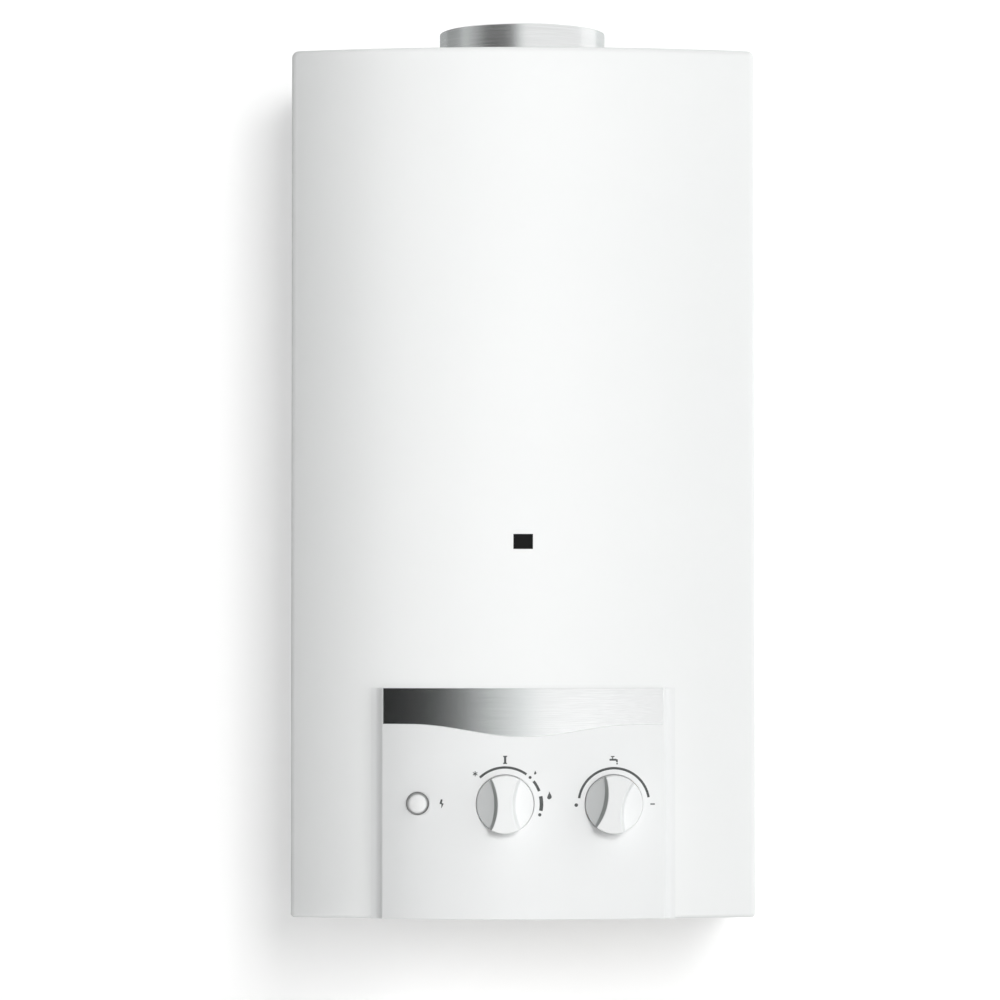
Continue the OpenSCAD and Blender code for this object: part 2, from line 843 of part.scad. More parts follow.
// Metal band along the panel's top, deeper in the middle by half a cosine wave
module panel_band() {
    steps = 32;
    function band_low(x) = panel_h - band_h
        - (abs(x) < band_bump_w / 2 ? band_bump * (1 + cos(360 * x / band_bump_w)) / 2 : 0);
    outline = concat(
        [[-panel_hw, panel_h], [-panel_hw, band_low(panel_hw)]],
        [for (i = [0 : steps]) let (x = band_bump_w * (i / steps - 0.5)) [x, band_low(x)]],
        [[panel_hw, band_low(panel_hw)], [panel_hw, panel_h]]
    );
    color("silver") hung() intersection() {
        translate([0, -case_d + case_bow / 2, 0]) rotate([90, 0, 0])
            linear_extrude(case_bow + panel_rise) polygon(outline);
        translate([0, panel_y, 0]) linear_extrude(panel_h) difference() {
            circle(r = panel_bow_r + band_t, $fn = 720);
            circle(r = panel_bow_r + eps, $fn = 720);
        }
    }
}

// Glass behind the window
module sight_pane() {
    color("black") hung() block(-sight_w / 2 - pane_lap, sight_w / 2 + pane_lap, sight_back,
        sight_back + pane_t,
        sight_z - sight_h / 2 - pane_lap, sight_z + sight_h / 2 + pane_lap);
}

// Clip frame that holds the glass against the casing
module sight_frame() {
    pocket_w = sight_w / 2 + pane_lap + seat_gap;
    pocket_h = sight_h / 2 + pane_lap + seat_gap;
    color("gray") hung() difference() {
        block(-pocket_w - frame_lap, pocket_w + frame_lap, sight_back,
            sight_back + pane_t + frame_back_t,
            sight_z - pocket_h - frame_lap, sight_z + pocket_h + frame_lap);
        block(-pocket_w, pocket_w, sight_back - cut, sight_back + pane_t + seat_gap,
            sight_z - pocket_h, sight_z + pocket_h);
        block(-sight_w / 2 - sight_rim, sight_w / 2 + sight_rim, sight_back,
            sight_back + pane_t + frame_back_t + cut,
            sight_z - sight_h / 2 - sight_rim, sight_z + sight_h / 2 + sight_rim);
    }
}

// Round knob with a waisted grip between two sloping hollows, made from the back forwards
module knob() {
    difference() {
        cylinder(d = knob_d, h = knob_len);
        for (s = [-1, 1]) intersection() {
            translate([s * (knob_waist / 2 + knob_scoop_r), 0, 0]) cylinder(r = knob_scoop_r,
                h = knob_len + cut);
            translate([s * knob_waist / 2, -knob_d, knob_len - scoop_drop]) rotate([0,
                s * scoop_slope, 0])
                translate([s > 0 ? -knob_d / 2 : -knob_d, 0, 0]) cube([1.5 * knob_d, 2 * knob_d,
                    knob_d]);
        }
        difference() {
            translate([0, 0, -cut]) cylinder(d = knob_d - 2 * knob_shell,
                h = knob_skirt - knob_web_t + cut);
            translate([0, 0, -cut]) cylinder(d = knob_hub_d, h = knob_skirt);
        }
        translate([0, 0, -cut]) cylinder(d = spindle_d + 2 * seat_gap, h = knob_len - knob_cap_t + cut);
    }
}
module knob_at(x, turn) {
    translate([x, -knob_root, knob_z]) rotate([90, 0, 0]) rotate([0, 0, -turn]) knob();
}
module gas_knob() {
    color("white") hung() knob_at(gas_knob_x, 0);
}
module water_knob() {
    color("white") hung() knob_at(water_knob_x, water_knob_turn);
}

// Gas spindle with its ported plug
module gas_spindle() {
    color("goldenrod") hung() difference() {
        union() {
            bar_y(spindle_d, spindle_front, plug_y0, gas_knob_x, knob_z);
            bar_y(plug_d, plug_y0, plug_y1, gas_knob_x, knob_z);
        }
        bar_y(plug_d / 2, gas_inlet_y, plug_y1 + cut, gas_knob_x, knob_z);
        bar_z(plug_d / 2, knob_z - plug_d, knob_z, gas_knob_x, gas_inlet_y);
    }
}

// Plunger behind the plug, which presses the safety magnet
module pilot_plunger() {
    color("goldenrod") hung() {
        bar_y(plunger_flange_d, plug_y1, plug_y1 + plunger_flange_t, gas_knob_x, knob_z);
        bar_y(plunger_d, plug_y1 + plunger_flange_t, plunger_end, gas_knob_x, knob_z);
    }
}

// Return spring of the plunger
module plunger_spring() {
    start = plug_y1 + plunger_flange_t + seat_gap;
    color("silver") hung() translate([gas_knob_x, start, knob_z]) rotate([-90, 0, 0])
        coil_spring(plunger_flange_d - 2 * spring_wire, spring_wire, tap_end - seat_gap - start,
            plunger_turns);
}

// Cast gas valve body with the tap bore along Y and the main valve bore along X
module gas_valve_body() {
    color("darkgoldenrod") hung() difference() {
        block(gas_x0, gas_x1, gas_y0, gas_y1, gas_z0, gas_z1);
        bar_y(tap_d, gas_y0 - cut, tap_end, gas_knob_x, knob_z);
        bar_y(plunger_d + 2 * run_gap, tap_end - cut, magnet_y + cut, gas_knob_x, knob_z);
        bar_y(magnet_d + 2 * seat_gap, magnet_y, gas_y1 + cut, gas_knob_x, knob_z);
        bar_x(gas_bore_d, gas_x0 - cut, seat_x0, valve_y, rod_z);
        bar_x(gas_bore_d / 2, seat_x0 - cut, seat_x1 + cut, valve_y, rod_z);
        bar_x(cavity_d, seat_x1, cavity_x1, valve_y, rod_z);
        bar_x(rod_d + 2 * run_gap, cavity_x1 - cut, gas_x1 + cut, valve_y, rod_z);
        bar_z(gas_port_d, rod_z, gas_z1 + cut, gas_port_x, valve_y);
        bar_z(cross_port_d, rod_z, knob_z, gas_knob_x - cross_port_side, valve_y);
        bar_z(gas_inlet_bore, gas_z0 - cut, knob_z, gas_knob_x, gas_inlet_y);
    }
}

// Front plate of the gas valve, which keeps the plug in
module gas_bonnet() {
    color("silver") hung() difference() {
        union() {
            block(gas_knob_x - bonnet_hw, gas_knob_x + bonnet_hw, gas_y0 - bonnet_t, gas_y0,
                knob_z - bonnet_hw, knob_z + bonnet_hw);
            bar_y(bonnet_neck_d, gas_y0 - bonnet_t - bonnet_neck, gas_y0 - bonnet_t, gas_knob_x,
                knob_z);
        }
        bar_y(spindle_d + 2 * run_gap, gas_y0 - bonnet_t - bonnet_neck - cut, gas_y0 + cut,
            gas_knob_x, knob_z);
    }
}

// Side plug of the gas valve, which carries the disc's spring
module gas_cap() {
    color("goldenrod") hung() {
        bar_x(gas_bore_d + 2 * cap_rim, gas_x0 - cap_rim, gas_x0, valve_y, rod_z);
        bar_x(gas_bore_d - 2 * seat_gap, gas_x0, cap_x, valve_y, rod_z);
    }
}

// Safety magnet screwed into the back of the gas valve
module magnet_unit() {
    color("silver") hung() {
        bar_y(magnet_d, plunger_end + knob_travel + magnet_play, gas_y1, gas_knob_x, knob_z);
        bar_y(magnet_d + 2 * magnet_rim, gas_y1, magnet_end - magnet_tip, gas_knob_x, knob_z);
        bar_y(magnet_tip_d, magnet_end - magnet_tip, magnet_end, gas_knob_x, knob_z);
    }
}

// Main gas valve disc with the guide for its spring
module gas_valve_disc() {
    face = seat_x0 - run_gap;
    color("dimgray") hung() {
        bar_x(disc_d, face - disc_t, face, valve_y, rod_z);
        bar_x(disc_guide_d, face - disc_t - disc_guide, face - disc_t, valve_y, rod_z);
    }
}

// Closing spring of the main gas valve
module gas_disc_spring() {
    start = cap_x + seat_gap;
    end = seat_x0 - run_gap - disc_t - seat_gap;
    color("silver") hung() translate([start, valve_y, rod_z]) rotate([0, 90, 0])
        coil_spring(2 * disc_guide_d, spring_wire, end - start, disc_turns);
}

// Rod and plate between the diaphragm and the gas valve disc
module push_rod() {
    color("goldenrod") hung() {
        bar_x(rod_plate_d, rod_plate_x, rod_plate_x + rod_plate_t, valve_y, rod_z);
        bar_x(rod_d, seat_x0 - run_gap, rod_plate_x, valve_y, rod_z);
    }
}

// Holes for the bolts round the diaphragm housing
module housing_bolts(d, x0, x1) {
    for (i = [0 : bolt_count - 1]) {
        a = 360 * i / bolt_count;
        bar_x(d, x0, x1, valve_y + bolt_circle_r * cos(a), rod_z + bolt_circle_r * sin(a));
    }
}

// Rubber diaphragm clamped between the two halves of the water valve
module diaphragm() {
    color("black") hung() difference() {
        bar_x(housing_d, cover_x1, body_x0, valve_y, rod_z);
        housing_bolts(screw_d + 2 * seat_gap, cover_x1 - cut, body_x0 + cut);
    }
}

// Half of the water valve that is screwed to the gas valve
module water_valve_cover() {
    color("goldenrod") hung() difference() {
        union() {
            block(cover_x0, cover_x0 + neck_t, valve_y - neck_hw, valve_y + neck_hw,
                rod_z - gas_floor, rod_z + gas_floor);
            bar_x(gas_bore_d, cover_x0, cover_face, valve_y, rod_z);
            bar_x(housing_d, cover_face, cover_x1, valve_y, rod_z);
        }
        bar_x(water_cavity_d, water_cavity_x, cover_x1 + cut, valve_y, rod_z);
        bar_x(rod_d + 2 * run_gap, cover_x0 - cut, water_cavity_x + cut, valve_y, rod_z);
        housing_bolts(screw_d + 2 * seat_gap, cover_face - cut, cover_x1 + cut);
    }
}

// Half of the water valve with the inlet, the outlet and the bypass needle's bore
module water_valve_body() {
    color("goldenrod") hung() difference() {
        union() {
            bar_x(housing_d, body_x0, flange_x1, valve_y, rod_z);
            block(block_x0, block_x1, block_y0, block_y1, block_z0, block_z1);
        }
        bar_x(water_cavity_d, body_x0 - cut, body_x0 + body_cavity, valve_y, rod_z);
        housing_bolts(screw_d + 2 * seat_gap, body_x0 - cut, body_x0 + bolt_sink + cut);
        bar_x(body_port_d, body_x0 + body_cavity - cut, water_in_x, valve_y, rod_z);
        bar_z(water_in_bore, block_z0 - cut, rod_z + water_in_rise, water_in_x, valve_y);
        bar_z(water_out_bore, rod_z, block_z1 + cut, water_out_x, valve_y);
        bar_y(needle_bore, block_y0 - cut, valve_y + needle_depth, water_knob_x, knob_z);
        bar_x(bypass_d, water_knob_x, water_out_x, bypass_y, knob_z);
    }
}

// Bolts round the diaphragm housing
module diaphragm_bolts() {
    color("silver") hung() {
        housing_bolts(screw_d, cover_face, body_x0 + bolt_sink);
        housing_bolts(bolt_head_d, cover_face - bolt_head_h, cover_face);
    }
}

// Water spindle with a thin tip inside the needle
module water_spindle() {
    gland_end = block_y0 + gland_h;
    color("goldenrod") hung() {
        bar_y(spindle_d, spindle_front, gland_end, water_knob_x, knob_z);
        bar_y(spindle_d - spindle_step, gland_end, valve_y, water_knob_x, knob_z);
    }
}

// Needle that the water spindle drives in and out
module bypass_needle() {
    color("darkgoldenrod") hung() difference() {
        union() {
            bar_y(needle_bore - 2 * run_gap, needle_y0, needle_y1, water_knob_x, knob_z);
            translate([water_knob_x, needle_y1, knob_z]) rotate([-90, 0, 0])
                cylinder(d1 = needle_bore - 2 * run_gap, d2 = needle_tip_d, h = needle_tip);
        }
        bar_y(spindle_d - spindle_step + 2 * run_gap, needle_y0 - cut, valve_y + needle_socket,
            water_knob_x, knob_z);
    }
}

// Gland nut that seals the water spindle
module spindle_gland() {
    color("goldenrod") hung() difference() {
        union() {
            hex_y(gland_hex, block_y0 - gland_h, block_y0, water_knob_x, knob_z);
            bar_y(needle_bore - 2 * seat_gap, block_y0, block_y0 + gland_h, water_knob_x, knob_z);
        }
        bar_y(spindle_d + 2 * run_gap, block_y0 - gland_h - cut, block_y0 + gland_h + cut,
            water_knob_x, knob_z);
    }
}

// Strainer sleeve in the cold inlet
module water_strainer() {
    color("silver") hung() difference() {
        bar_z(water_in_bore - 2 * seat_gap, block_z0 + strainer_cap, rod_z - strainer_drop,
            water_in_x, valve_y);
        bar_z(water_in_bore - 2 * seat_gap - 2 * strainer_t, block_z0,
            rod_z - strainer_drop - strainer_cap, water_in_x, valve_y);
    }
}

// Push button of the igniter
module igniter_button() {
    color("lightgray") hung() {
        bar_y(button_d, button_front, button_back, button_x, knob_z);
        bar_y(button_stem_d, button_back, button_back + button_stem, button_x, knob_z);
    }
}

// Return spring of the button
module button_spring() {
    color("silver") hung() translate([button_x, button_back + seat_gap, knob_z]) rotate([-90, 0, 0])
        coil_spring(button_stem_d + 3 * button_wire, button_wire,
            piezo_y0 - button_back - 2 * seat_gap, button_turns);
}

// Piezo striker behind the button
module piezo_igniter() {
    color("dimgray") hung() difference() {
        union() {
            bar_y(piezo_d, piezo_y0, piezo_y1, button_x, knob_z);
            bar_y(piezo_terminal_d, piezo_y1, piezo_y1 + piezo_terminal, button_x, knob_z);
        }
        bar_y(button_stem_d + 2 * run_gap, piezo_y0 - cut, button_back + button_stem + piezo_stroke,
            button_x, knob_z);
    }
}

// Nut that holds the piezo in its bracket
module piezo_nut() {
    color("silver") hung() difference() {
        hex_y(piezo_d + 2 * piezo_margin, piezo_plate_y - piezo_nut_t, piezo_plate_y, button_x, knob_z);
        bar_y(piezo_d + 2 * seat_gap, piezo_plate_y - piezo_nut_t - cut, piezo_plate_y + cut,
            button_x, knob_z);
    }
}

// Sheet bracket from the gas valve's side to the piezo
module piezo_bracket() {
    color("silver") hung() difference() {
        union() {
            block(button_x - piezo_d / 2 - piezo_margin, gas_x0, piezo_plate_y,
                piezo_plate_y + piezo_plate_t,
                knob_z - piezo_plate_hh, knob_z + piezo_plate_hh);
            block(gas_x0 - piezo_plate_t, gas_x0, piezo_plate_y, valve_y - gas_bore_d / 2 - piezo_fold,
                knob_z - piezo_plate_hh, knob_z + piezo_plate_hh);
        }
        bar_y(piezo_d + 2 * seat_gap, piezo_plate_y - cut, piezo_plate_y + piezo_plate_t + cut,
            button_x, knob_z);
    }
}

// High tension lead from the piezo to the electrode
module ignition_lead() {
    color("firebrick") hung() bent_tube(ignition_route, lead_d, 0, lead_bend);
}

// Ceramic electrode whose wire points at the pilot
module ignition_electrode() {
    color("ivory") hung() {
        bar_y(ceramic_d, pilot_back, blade_y0, electrode_x, pilot_z);
        bar_y(electrode_wire_d, blade_y0, pilot_tip_y + electrode_wire_d / 2, electrode_x, pilot_z);
        bar_z(electrode_wire_d, pilot_z, pilot_tip_z + electrode_wire_d / 2, electrode_x, pilot_tip_y);
        bar_x(electrode_wire_d, electrode_x, pilot_x - pilot_d / 2 - spark_gap, pilot_tip_y, pilot_tip_z);
    }
}

// Pilot burner with an upright nozzle
module pilot_burner() {
    color("goldenrod") hung() {
        bar_y(pilot_d, pilot_back, pilot_tip_y, pilot_x, pilot_z);
        bar_z(pilot_d - nozzle_step, pilot_z, pilot_tip_z, pilot_x, pilot_tip_y);
    }
}

// Plate on the burner frame that carries the pilot, the electrode and the thermocouple
module pilot_bracket() {
    color("silver") hung() difference() {
        block(electrode_x - pilot_margin, thermo_x + pilot_margin, chamber_y0 - pilot_plate_t,
            chamber_y0, pilot_z - pilot_margin, pilot_z + pilot_margin_top);
        for (p = [[electrode_x, ceramic_d], [pilot_x, pilot_d], [thermo_x, ceramic_d]])
            bar_y(p[1] + 2 * seat_gap, chamber_y0 - pilot_plate_t - cut, chamber_y0 + cut, p[0],
                pilot_z);
    }
}

// Thin gas pipe to the pilot
module pilot_pipe() {
    color("peru") hung() bent_tube(pilot_route, pilot_pipe_d, pilot_pipe_wall, lead_bend);
}

// Thermocouple with its tip beside the pilot
module thermocouple() {
    color("peru") hung() {
        bar_y(ceramic_d, pilot_back, pilot_tip_y, thermo_x, pilot_z);
        bar_z(thermo_tip_d, pilot_z, pilot_tip_z + thermo_tip_d / 2, thermo_x, pilot_tip_y);
        bar_x(thermo_tip_d, pilot_x + pilot_d / 2 + thermo_gap, thermo_x, pilot_tip_y, pilot_tip_z);
    }
}

// Thermocouple lead to the safety magnet
module thermocouple_lead() {
    color("peru") hung() bent_tube(thermo_route, thermo_lead_d, 0, lead_bend);
}

// Gas pipe from the valve to the manifold
module gas_riser() {
    color("silver") hung() bent_tube(gas_route, gas_pipe_d, pipe_wall, bend_r);
}

// Places something at each burner blade
module at_blades() {
    for (i = [-blade_side : blade_side]) translate([i * blade_pitch, 0, 0]) children();
}

// Gas manifold in front of the burner with an inlet boss below
module burner_manifold() {
    color("silver") hung() difference() {
        union() {
            bar_x(manifold_d, -manifold_hw, manifold_hw, manifold_y, jet_z);
            bar_z(gas_pipe_d + 2 * boss_wall, boss_z0, jet_z, gas_port_x, manifold_y);
        }
        bar_x(manifold_bore, manifold_end_t - manifold_hw, manifold_hw - manifold_end_t,
            manifold_y, jet_z);
        bar_z(gas_pipe_d + 2 * seat_gap, boss_z0 - cut, boss_z0 + boss_socket, gas_port_x, manifold_y);
        bar_z(gas_port_d, boss_z0, jet_z, gas_port_x, manifold_y);
        at_blades() bar_y(jet_d + 2 * seat_gap, manifold_y, manifold_y + manifold_d, 0, jet_z);
    }
}

// Jets from the manifold through the burner frame's front
module burner_jets() {
    color("goldenrod") hung() at_blades() difference() {
        bar_y(jet_d, manifold_y + manifold_bore / 2, blade_y0 - jet_gap, 0, jet_z);
        bar_y(jet_d / 3, manifold_y, blade_y0, 0, jet_z);
    }
}

// Slotted burner blades
module burner_blades() {
    color("lightsteelblue") hung() at_blades() difference() {
        block(-blade_w / 2, blade_w / 2, blade_y0, blade_y1, blade_z0, blade_z1);
        bar_y(blade_w - 2 * blade_wall, blade_y0 - cut, blade_y0 + venturi_len, 0, jet_z);
        for (k = [1 : blade_slots]) {
            y = blade_y0 + k * (blade_y1 - blade_y0) / (blade_slots + 1);
            block(-blade_w, blade_w, y - slot_w / 2, y + slot_w / 2, blade_z1 - slot_h, blade_z1 + cut);
        }
    }
}

// Burner frame with two rails under the blades
module burner_frame() {
    inner = chamber_hw - frame_t;
    color("silver") hung() difference() {
        union() {
            duct(chamber_hw, chamber_y0, chamber_y1, burner_z, burner_top, frame_t);
            for (y = [blade_y0 + rail_front, blade_y1 - rail_back])
                block(-inner - eps, inner + eps, y, y + rail_w, blade_z0 - rail_h, blade_z0);
        }
        at_blades() bar_y(jet_d + 2 * seat_gap, chamber_y0 - cut, chamber_y0 + frame_t + cut, 0, jet_z);
        for (p = [[electrode_x, ceramic_d], [pilot_x, pilot_d], [thermo_x, ceramic_d]])
            bar_y(p[1] + 2 * seat_gap, chamber_y0 - cut, chamber_y0 + frame_t + cut, p[0], pilot_z);
    }
}

// Copper combustion chamber with a sight hole and holes for the exchanger's tubes
module combustion_chamber() {
    color("peru") hung() difference() {
        duct(chamber_hw, chamber_y0, chamber_y1, chamber_z0, chamber_z1, chamber_sheet);
        block(-sight_w / 2 - sight_flare, sight_w / 2 + sight_flare, chamber_y0 - cut,
            chamber_y0 + chamber_sheet + cut,
            sight_z - sight_h / 2 - sight_flare, sight_z + sight_h / 2 + sight_flare);
        for (i = [0 : tube_count - 1])
            bar_x(pipe_d + 2 * seat_gap, -chamber_hw - cut, chamber_hw + cut, tube_y(i), tube_z);
    }
}

// Pipe that warms the water round the chamber
module preheat_coil() {
    color("peru") hung() bent_tube(coil_route, pipe_d, pipe_wall, bend_r);
}

// Fins of the heat exchanger, one sheet each, on the exchanger's tubes
module exchanger_fins() {
    y0 = chamber_y0 + chamber_sheet + fin_inset;
    y1 = chamber_y1 - chamber_sheet - fin_inset;
    color("peru") hung() for (i = [-fin_side : fin_side])
        multmatrix(columns([0, 1, 0], [0, 0, 1], [1, 0, 0], [i * fin_pitch - fin_t / 2, 0, 0]))
            linear_extrude(fin_t) difference() {
                translate([y0, fin_z0]) square([y1 - y0, fin_h]);
                for (k = [0 : tube_count - 1])
                    translate([tube_y(k), tube_z]) circle(d = pipe_d + 2 * seat_gap);
            }
}

// Tube that runs to and fro through the fins
module exchanger_tubes() {
    color("peru") hung() bent_tube(exchanger_route, pipe_d, pipe_wall, tube_pitch / 2);
}

// Cold water pipe from the water valve up to the coil
module cold_pipe() {
    color("peru") hung() bent_tube(cold_route, pipe_d, pipe_wall, bend_r);
}

// Hot water pipe down to the outlet
module hot_pipe() {
    color("peru") hung() bent_tube(hot_route, pipe_d, pipe_wall, bend_r);
}

// Threaded connection that points down, under a hexagon
module connection(x, y, top) {
    difference() {
        union() {
            hex_z(connector_hex, top - hex_h, top, x, y);
            bar_z(connector_d, connector_end, top - hex_h, x, y);
        }
        bar_z(connector_bore, connector_end - cut, top + cut, x, y);
    }
}
module cold_inlet() {
    color("goldenrod") hung() connection(water_in_x, valve_y, block_z0);
}
module gas_inlet() {
    color("goldenrod") hung() connection(gas_knob_x, gas_inlet_y, gas_z0);
}

// Hot outlet with a socket for the hot pipe
module hot_outlet() {
    color("goldenrod") hung() difference() {
        union() {
            connection(hot_x, hot_y, hot_z0);
            bar_z(hot_body_d, hot_z0, hot_z1, hot_x, hot_y);
        }
        bar_z(water_out_bore, connector_end, hot_z1, hot_x, hot_y);
        bar_z(pipe_d + 2 * seat_gap, hot_z1 - hot_socket, hot_z1 + cut, hot_x, hot_y);
    }
}

// Nuts at the pipe ends
module union_nuts() {
    seats = [
        [water_out_x, valve_y, block_z1, pipe_d],
        [hot_x, hot_y, hot_z1, pipe_d],
        [gas_port_x, valve_y, gas_z1, gas_pipe_d],
        [gas_port_x, manifold_y, boss_z0 - nut_h, gas_pipe_d]
    ];
    color("goldenrod") hung() for (s = seats) difference() {
        hex_z(nut_hex, s[2], s[2] + nut_h, s[0], s[1]);
        bar_z(s[3] + 2 * seat_gap, s[2] - cut, s[2] + nut_h + cut, s[0], s[1]);
    }
}

// Draught hood above the exchanger, with a spill slot at each side and the flue outlet in its top
module flue_hood() {
    t = chamber_sheet;
    color("lightgray") hung() difference() {
        union() {
            duct(chamber_hw, chamber_y0, chamber_y1, hood_z0, hood_z1 + t, t);
            duct(hood_hw, hood_y0, hood_y1, hood_z1, hood_top, t);
            difference() {
                block(-hood_hw, hood_hw, hood_y0, hood_y1, hood_z1, hood_z1 + t);
                block(t - chamber_hw, chamber_hw - t, chamber_y0 + t, chamber_y1 - t,
                    hood_z1 - cut, hood_z1 + t + cut);
            }
            block(-hood_hw, hood_hw, hood_y0, hood_y1, hood_top - t, hood_top);
        }
        bar_z(flue_d, hood_top - t - cut, hood_top + cut, 0, -flue_out);
        for (s = [-1, 1])
            block(s * hood_hw - t - cut, s * hood_hw + t + cut, chamber_y0 + hood_slot_edge,
                chamber_y1 - hood_slot_edge,
                hood_slot_z, hood_slot_z + hood_slot_h);
    }
}

// Collar on the hood that takes the flue pipe
module flue_collar() {
    top = case_h + flue_rise;
    color("silver") hung() translate([0, -flue_out, 0]) difference() {
        union() {
            bar_z(flue_d + 2 * flue_flange, hood_top, hood_top + flue_wall, 0, 0);
            bar_z(flue_d, hood_top, top, 0, 0);
        }
        bar_z(flue_bore, hood_top - cut, top + cut, 0, 0);
    }
}

// Thermostat on the hood's side that senses spilt flue gas
module spill_sensor() {
    z = hood_slot_z + hood_slot_h + spill_rise;
    y = (chamber_y0 + chamber_y1) / 2;
    plate_x = -hood_hw - spill_plate_t;
    can_x = plate_x - spill_can_h;
    tab_x = can_x - spill_tab_h;
    color("dimgray") hung() {
        block(plate_x, -hood_hw, y - spill_ear, y + spill_ear, z - spill_ear / 2, z + spill_ear / 2);
        bar_x(spill_can_d, can_x, plate_x, y, z);
        for (s = [-1, 1])
            block(tab_x, can_x, y + spill_tab_side * s - spill_tab_t / 2,
                y + spill_tab_side * s + spill_tab_t / 2, z - spill_tab_hh, z + spill_tab_hh);
    }
}

// Sheet strap from the back plate to a piece in front of it
module strap(x0, x1, y_front, z, rise) {
    block(x0, x1, -plate_t - strap_t, -plate_t, z, z + rise);
    block(x0, x1, y_front, -plate_t, z, z + strap_t);
    block(x0, x1, y_front, y_front + strap_t, z, z + rise);
}

// Straps that carry the gas valve, the water valve and the hot outlet
module valve_bracket() {
    z = gas_z0 + strap_rise;
    x_gas = gas_x0 + gas_strap_edge;
    x_water = block_x0 + water_strap_edge;
    hot_x0 = hot_x - hot_arm_hw;
    hot_x1 = hot_x + hot_arm_hw;
    color("gray") hung() {
        strap(x_gas, x_gas + strap_w, gas_y1, z, strap_h);
        strap(x_water, x_water + strap_w, block_y1, z, strap_h);
        difference() {
            union() {
                block(hot_x0, hot_x1, hot_y - hot_arm_hw, -plate_t, hot_arm_z, hot_arm_z + strap_t);
                block(hot_x0, hot_x1, -plate_t - strap_t, -plate_t, hot_arm_z, hot_arm_z + strap_h);
            }
            bar_z(hot_body_d + 2 * seat_gap, hot_arm_z - cut, hot_arm_z + strap_t + cut, hot_x, hot_y);
        }
    }
}

// Straps that carry the combustion chamber
module exchanger_brackets() {
    z = coil_z + pipe_d / 2 + chamber_strap_rise;
    x = chamber_hw - chamber_strap_in;
    color("gray") hung() for (s = [-1, 1])
        strap(s * x - strap_w / 2, s * x + strap_w / 2, chamber_y1, z, strap_h);
}

back_plate();
front_casing();
casing_top();
casing_screws();
control_panel();
panel_band();
sight_pane();
sight_frame();
gas_knob();
gas_spindle();
pilot_plunger();
plunger_spring();
gas_valve_body();
gas_bonnet();
gas_cap();
magnet_unit();
gas_valve_disc();
gas_disc_spring();
push_rod();
diaphragm();
water_valve_cover();
water_valve_body();
diaphragm_bolts();
water_knob();
water_spindle();
bypass_needle();
spindle_gland();
water_strainer();
igniter_button();
button_spring();
piezo_igniter();
piezo_nut();
piezo_bracket();
ignition_lead();
ignition_electrode();
pilot_burner();
pilot_bracket();
pilot_pipe();
thermocouple();
thermocouple_lead();
gas_riser();
burner_manifold();
burner_jets();
burner_blades();
burner_frame();
combustion_chamber();
preheat_coil();
exchanger_fins();
exchanger_tubes();
cold_pipe();
hot_pipe();
cold_inlet();
hot_outlet();
gas_inlet();
union_nuts();
flue_hood();
flue_collar();
spill_sensor();
valve_bracket();
exchanger_brackets();
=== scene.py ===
import json
from math import atan, atan2, cos, pi, radians, sin, sqrt, tan

import bmesh
import bpy
import numpy as np
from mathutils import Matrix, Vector


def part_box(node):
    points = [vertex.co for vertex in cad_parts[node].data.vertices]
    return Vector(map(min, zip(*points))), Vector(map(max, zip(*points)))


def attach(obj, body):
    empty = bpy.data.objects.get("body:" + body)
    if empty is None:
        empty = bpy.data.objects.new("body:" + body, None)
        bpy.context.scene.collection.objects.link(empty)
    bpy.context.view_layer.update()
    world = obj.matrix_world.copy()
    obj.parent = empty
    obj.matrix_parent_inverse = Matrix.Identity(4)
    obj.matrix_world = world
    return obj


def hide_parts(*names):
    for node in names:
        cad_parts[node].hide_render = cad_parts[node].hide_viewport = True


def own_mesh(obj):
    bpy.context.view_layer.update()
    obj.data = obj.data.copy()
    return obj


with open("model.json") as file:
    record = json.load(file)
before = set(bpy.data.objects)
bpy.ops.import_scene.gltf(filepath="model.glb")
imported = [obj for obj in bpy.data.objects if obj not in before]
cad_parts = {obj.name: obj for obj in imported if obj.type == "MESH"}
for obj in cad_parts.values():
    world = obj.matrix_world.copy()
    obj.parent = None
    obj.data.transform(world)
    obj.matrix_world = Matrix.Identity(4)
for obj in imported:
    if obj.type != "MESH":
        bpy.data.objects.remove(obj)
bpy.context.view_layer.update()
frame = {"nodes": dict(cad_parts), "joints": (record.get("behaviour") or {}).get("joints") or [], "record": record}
nodes = frame["nodes"]
mm = 0.001
join = np.concatenate
print("frame loaded with", len(nodes), "nodes")


def inMm(**sizes):
    return {key: size * mm for key, size in sizes.items()}


def pick(settings, names):
    return [settings[name] for name in names.split()]


# Mesh tools

mesher = {"weld": 1e-7, "sliver": 1e-8, "least": 1e-12, "digits": 7, "ringEase": 1.6, "ringSlack": 0.01,
          "foldSteps": 7}


def pile(*axes):
    # coordinates of any shapes that fit together, as points
    return np.stack(np.broadcast_arrays(*axes), -1)


def gridFaces(rows, cols, wrap=False):
    # quads between neighbouring rows and columns of points that are stored row by row
    across = cols if wrap else cols - 1
    j, i = np.meshgrid(np.arange(rows - 1), np.arange(across), indexing="ij")
    k = (i + 1) % cols
    return pile(j * cols + i, j * cols + k, (j + 1) * cols + k, (j + 1) * cols + i).reshape(-1, 4)


def closeSheet(outer, inner, faces):
    # a sheet and its inner copy, joined by a strip along every edge that only one face has
    outer, inner = outer.reshape(-1, 3), inner.reshape(-1, 3)
    count = len(outer)
    edges = pile(faces, np.roll(faces, -1, 1)).reshape(-1, 2)
    low, high = edges.min(1), edges.max(1)
    index, uses = np.unique(low * count + high, return_inverse=True, return_counts=True)[1:]
    rim = edges[uses[index] == 1]
    strip = pile(rim[:, 1], rim[:, 0], rim[:, 0] + count, rim[:, 1] + count)
    return join([outer, inner]), join([faces, faces[:, ::-1] + count, strip])


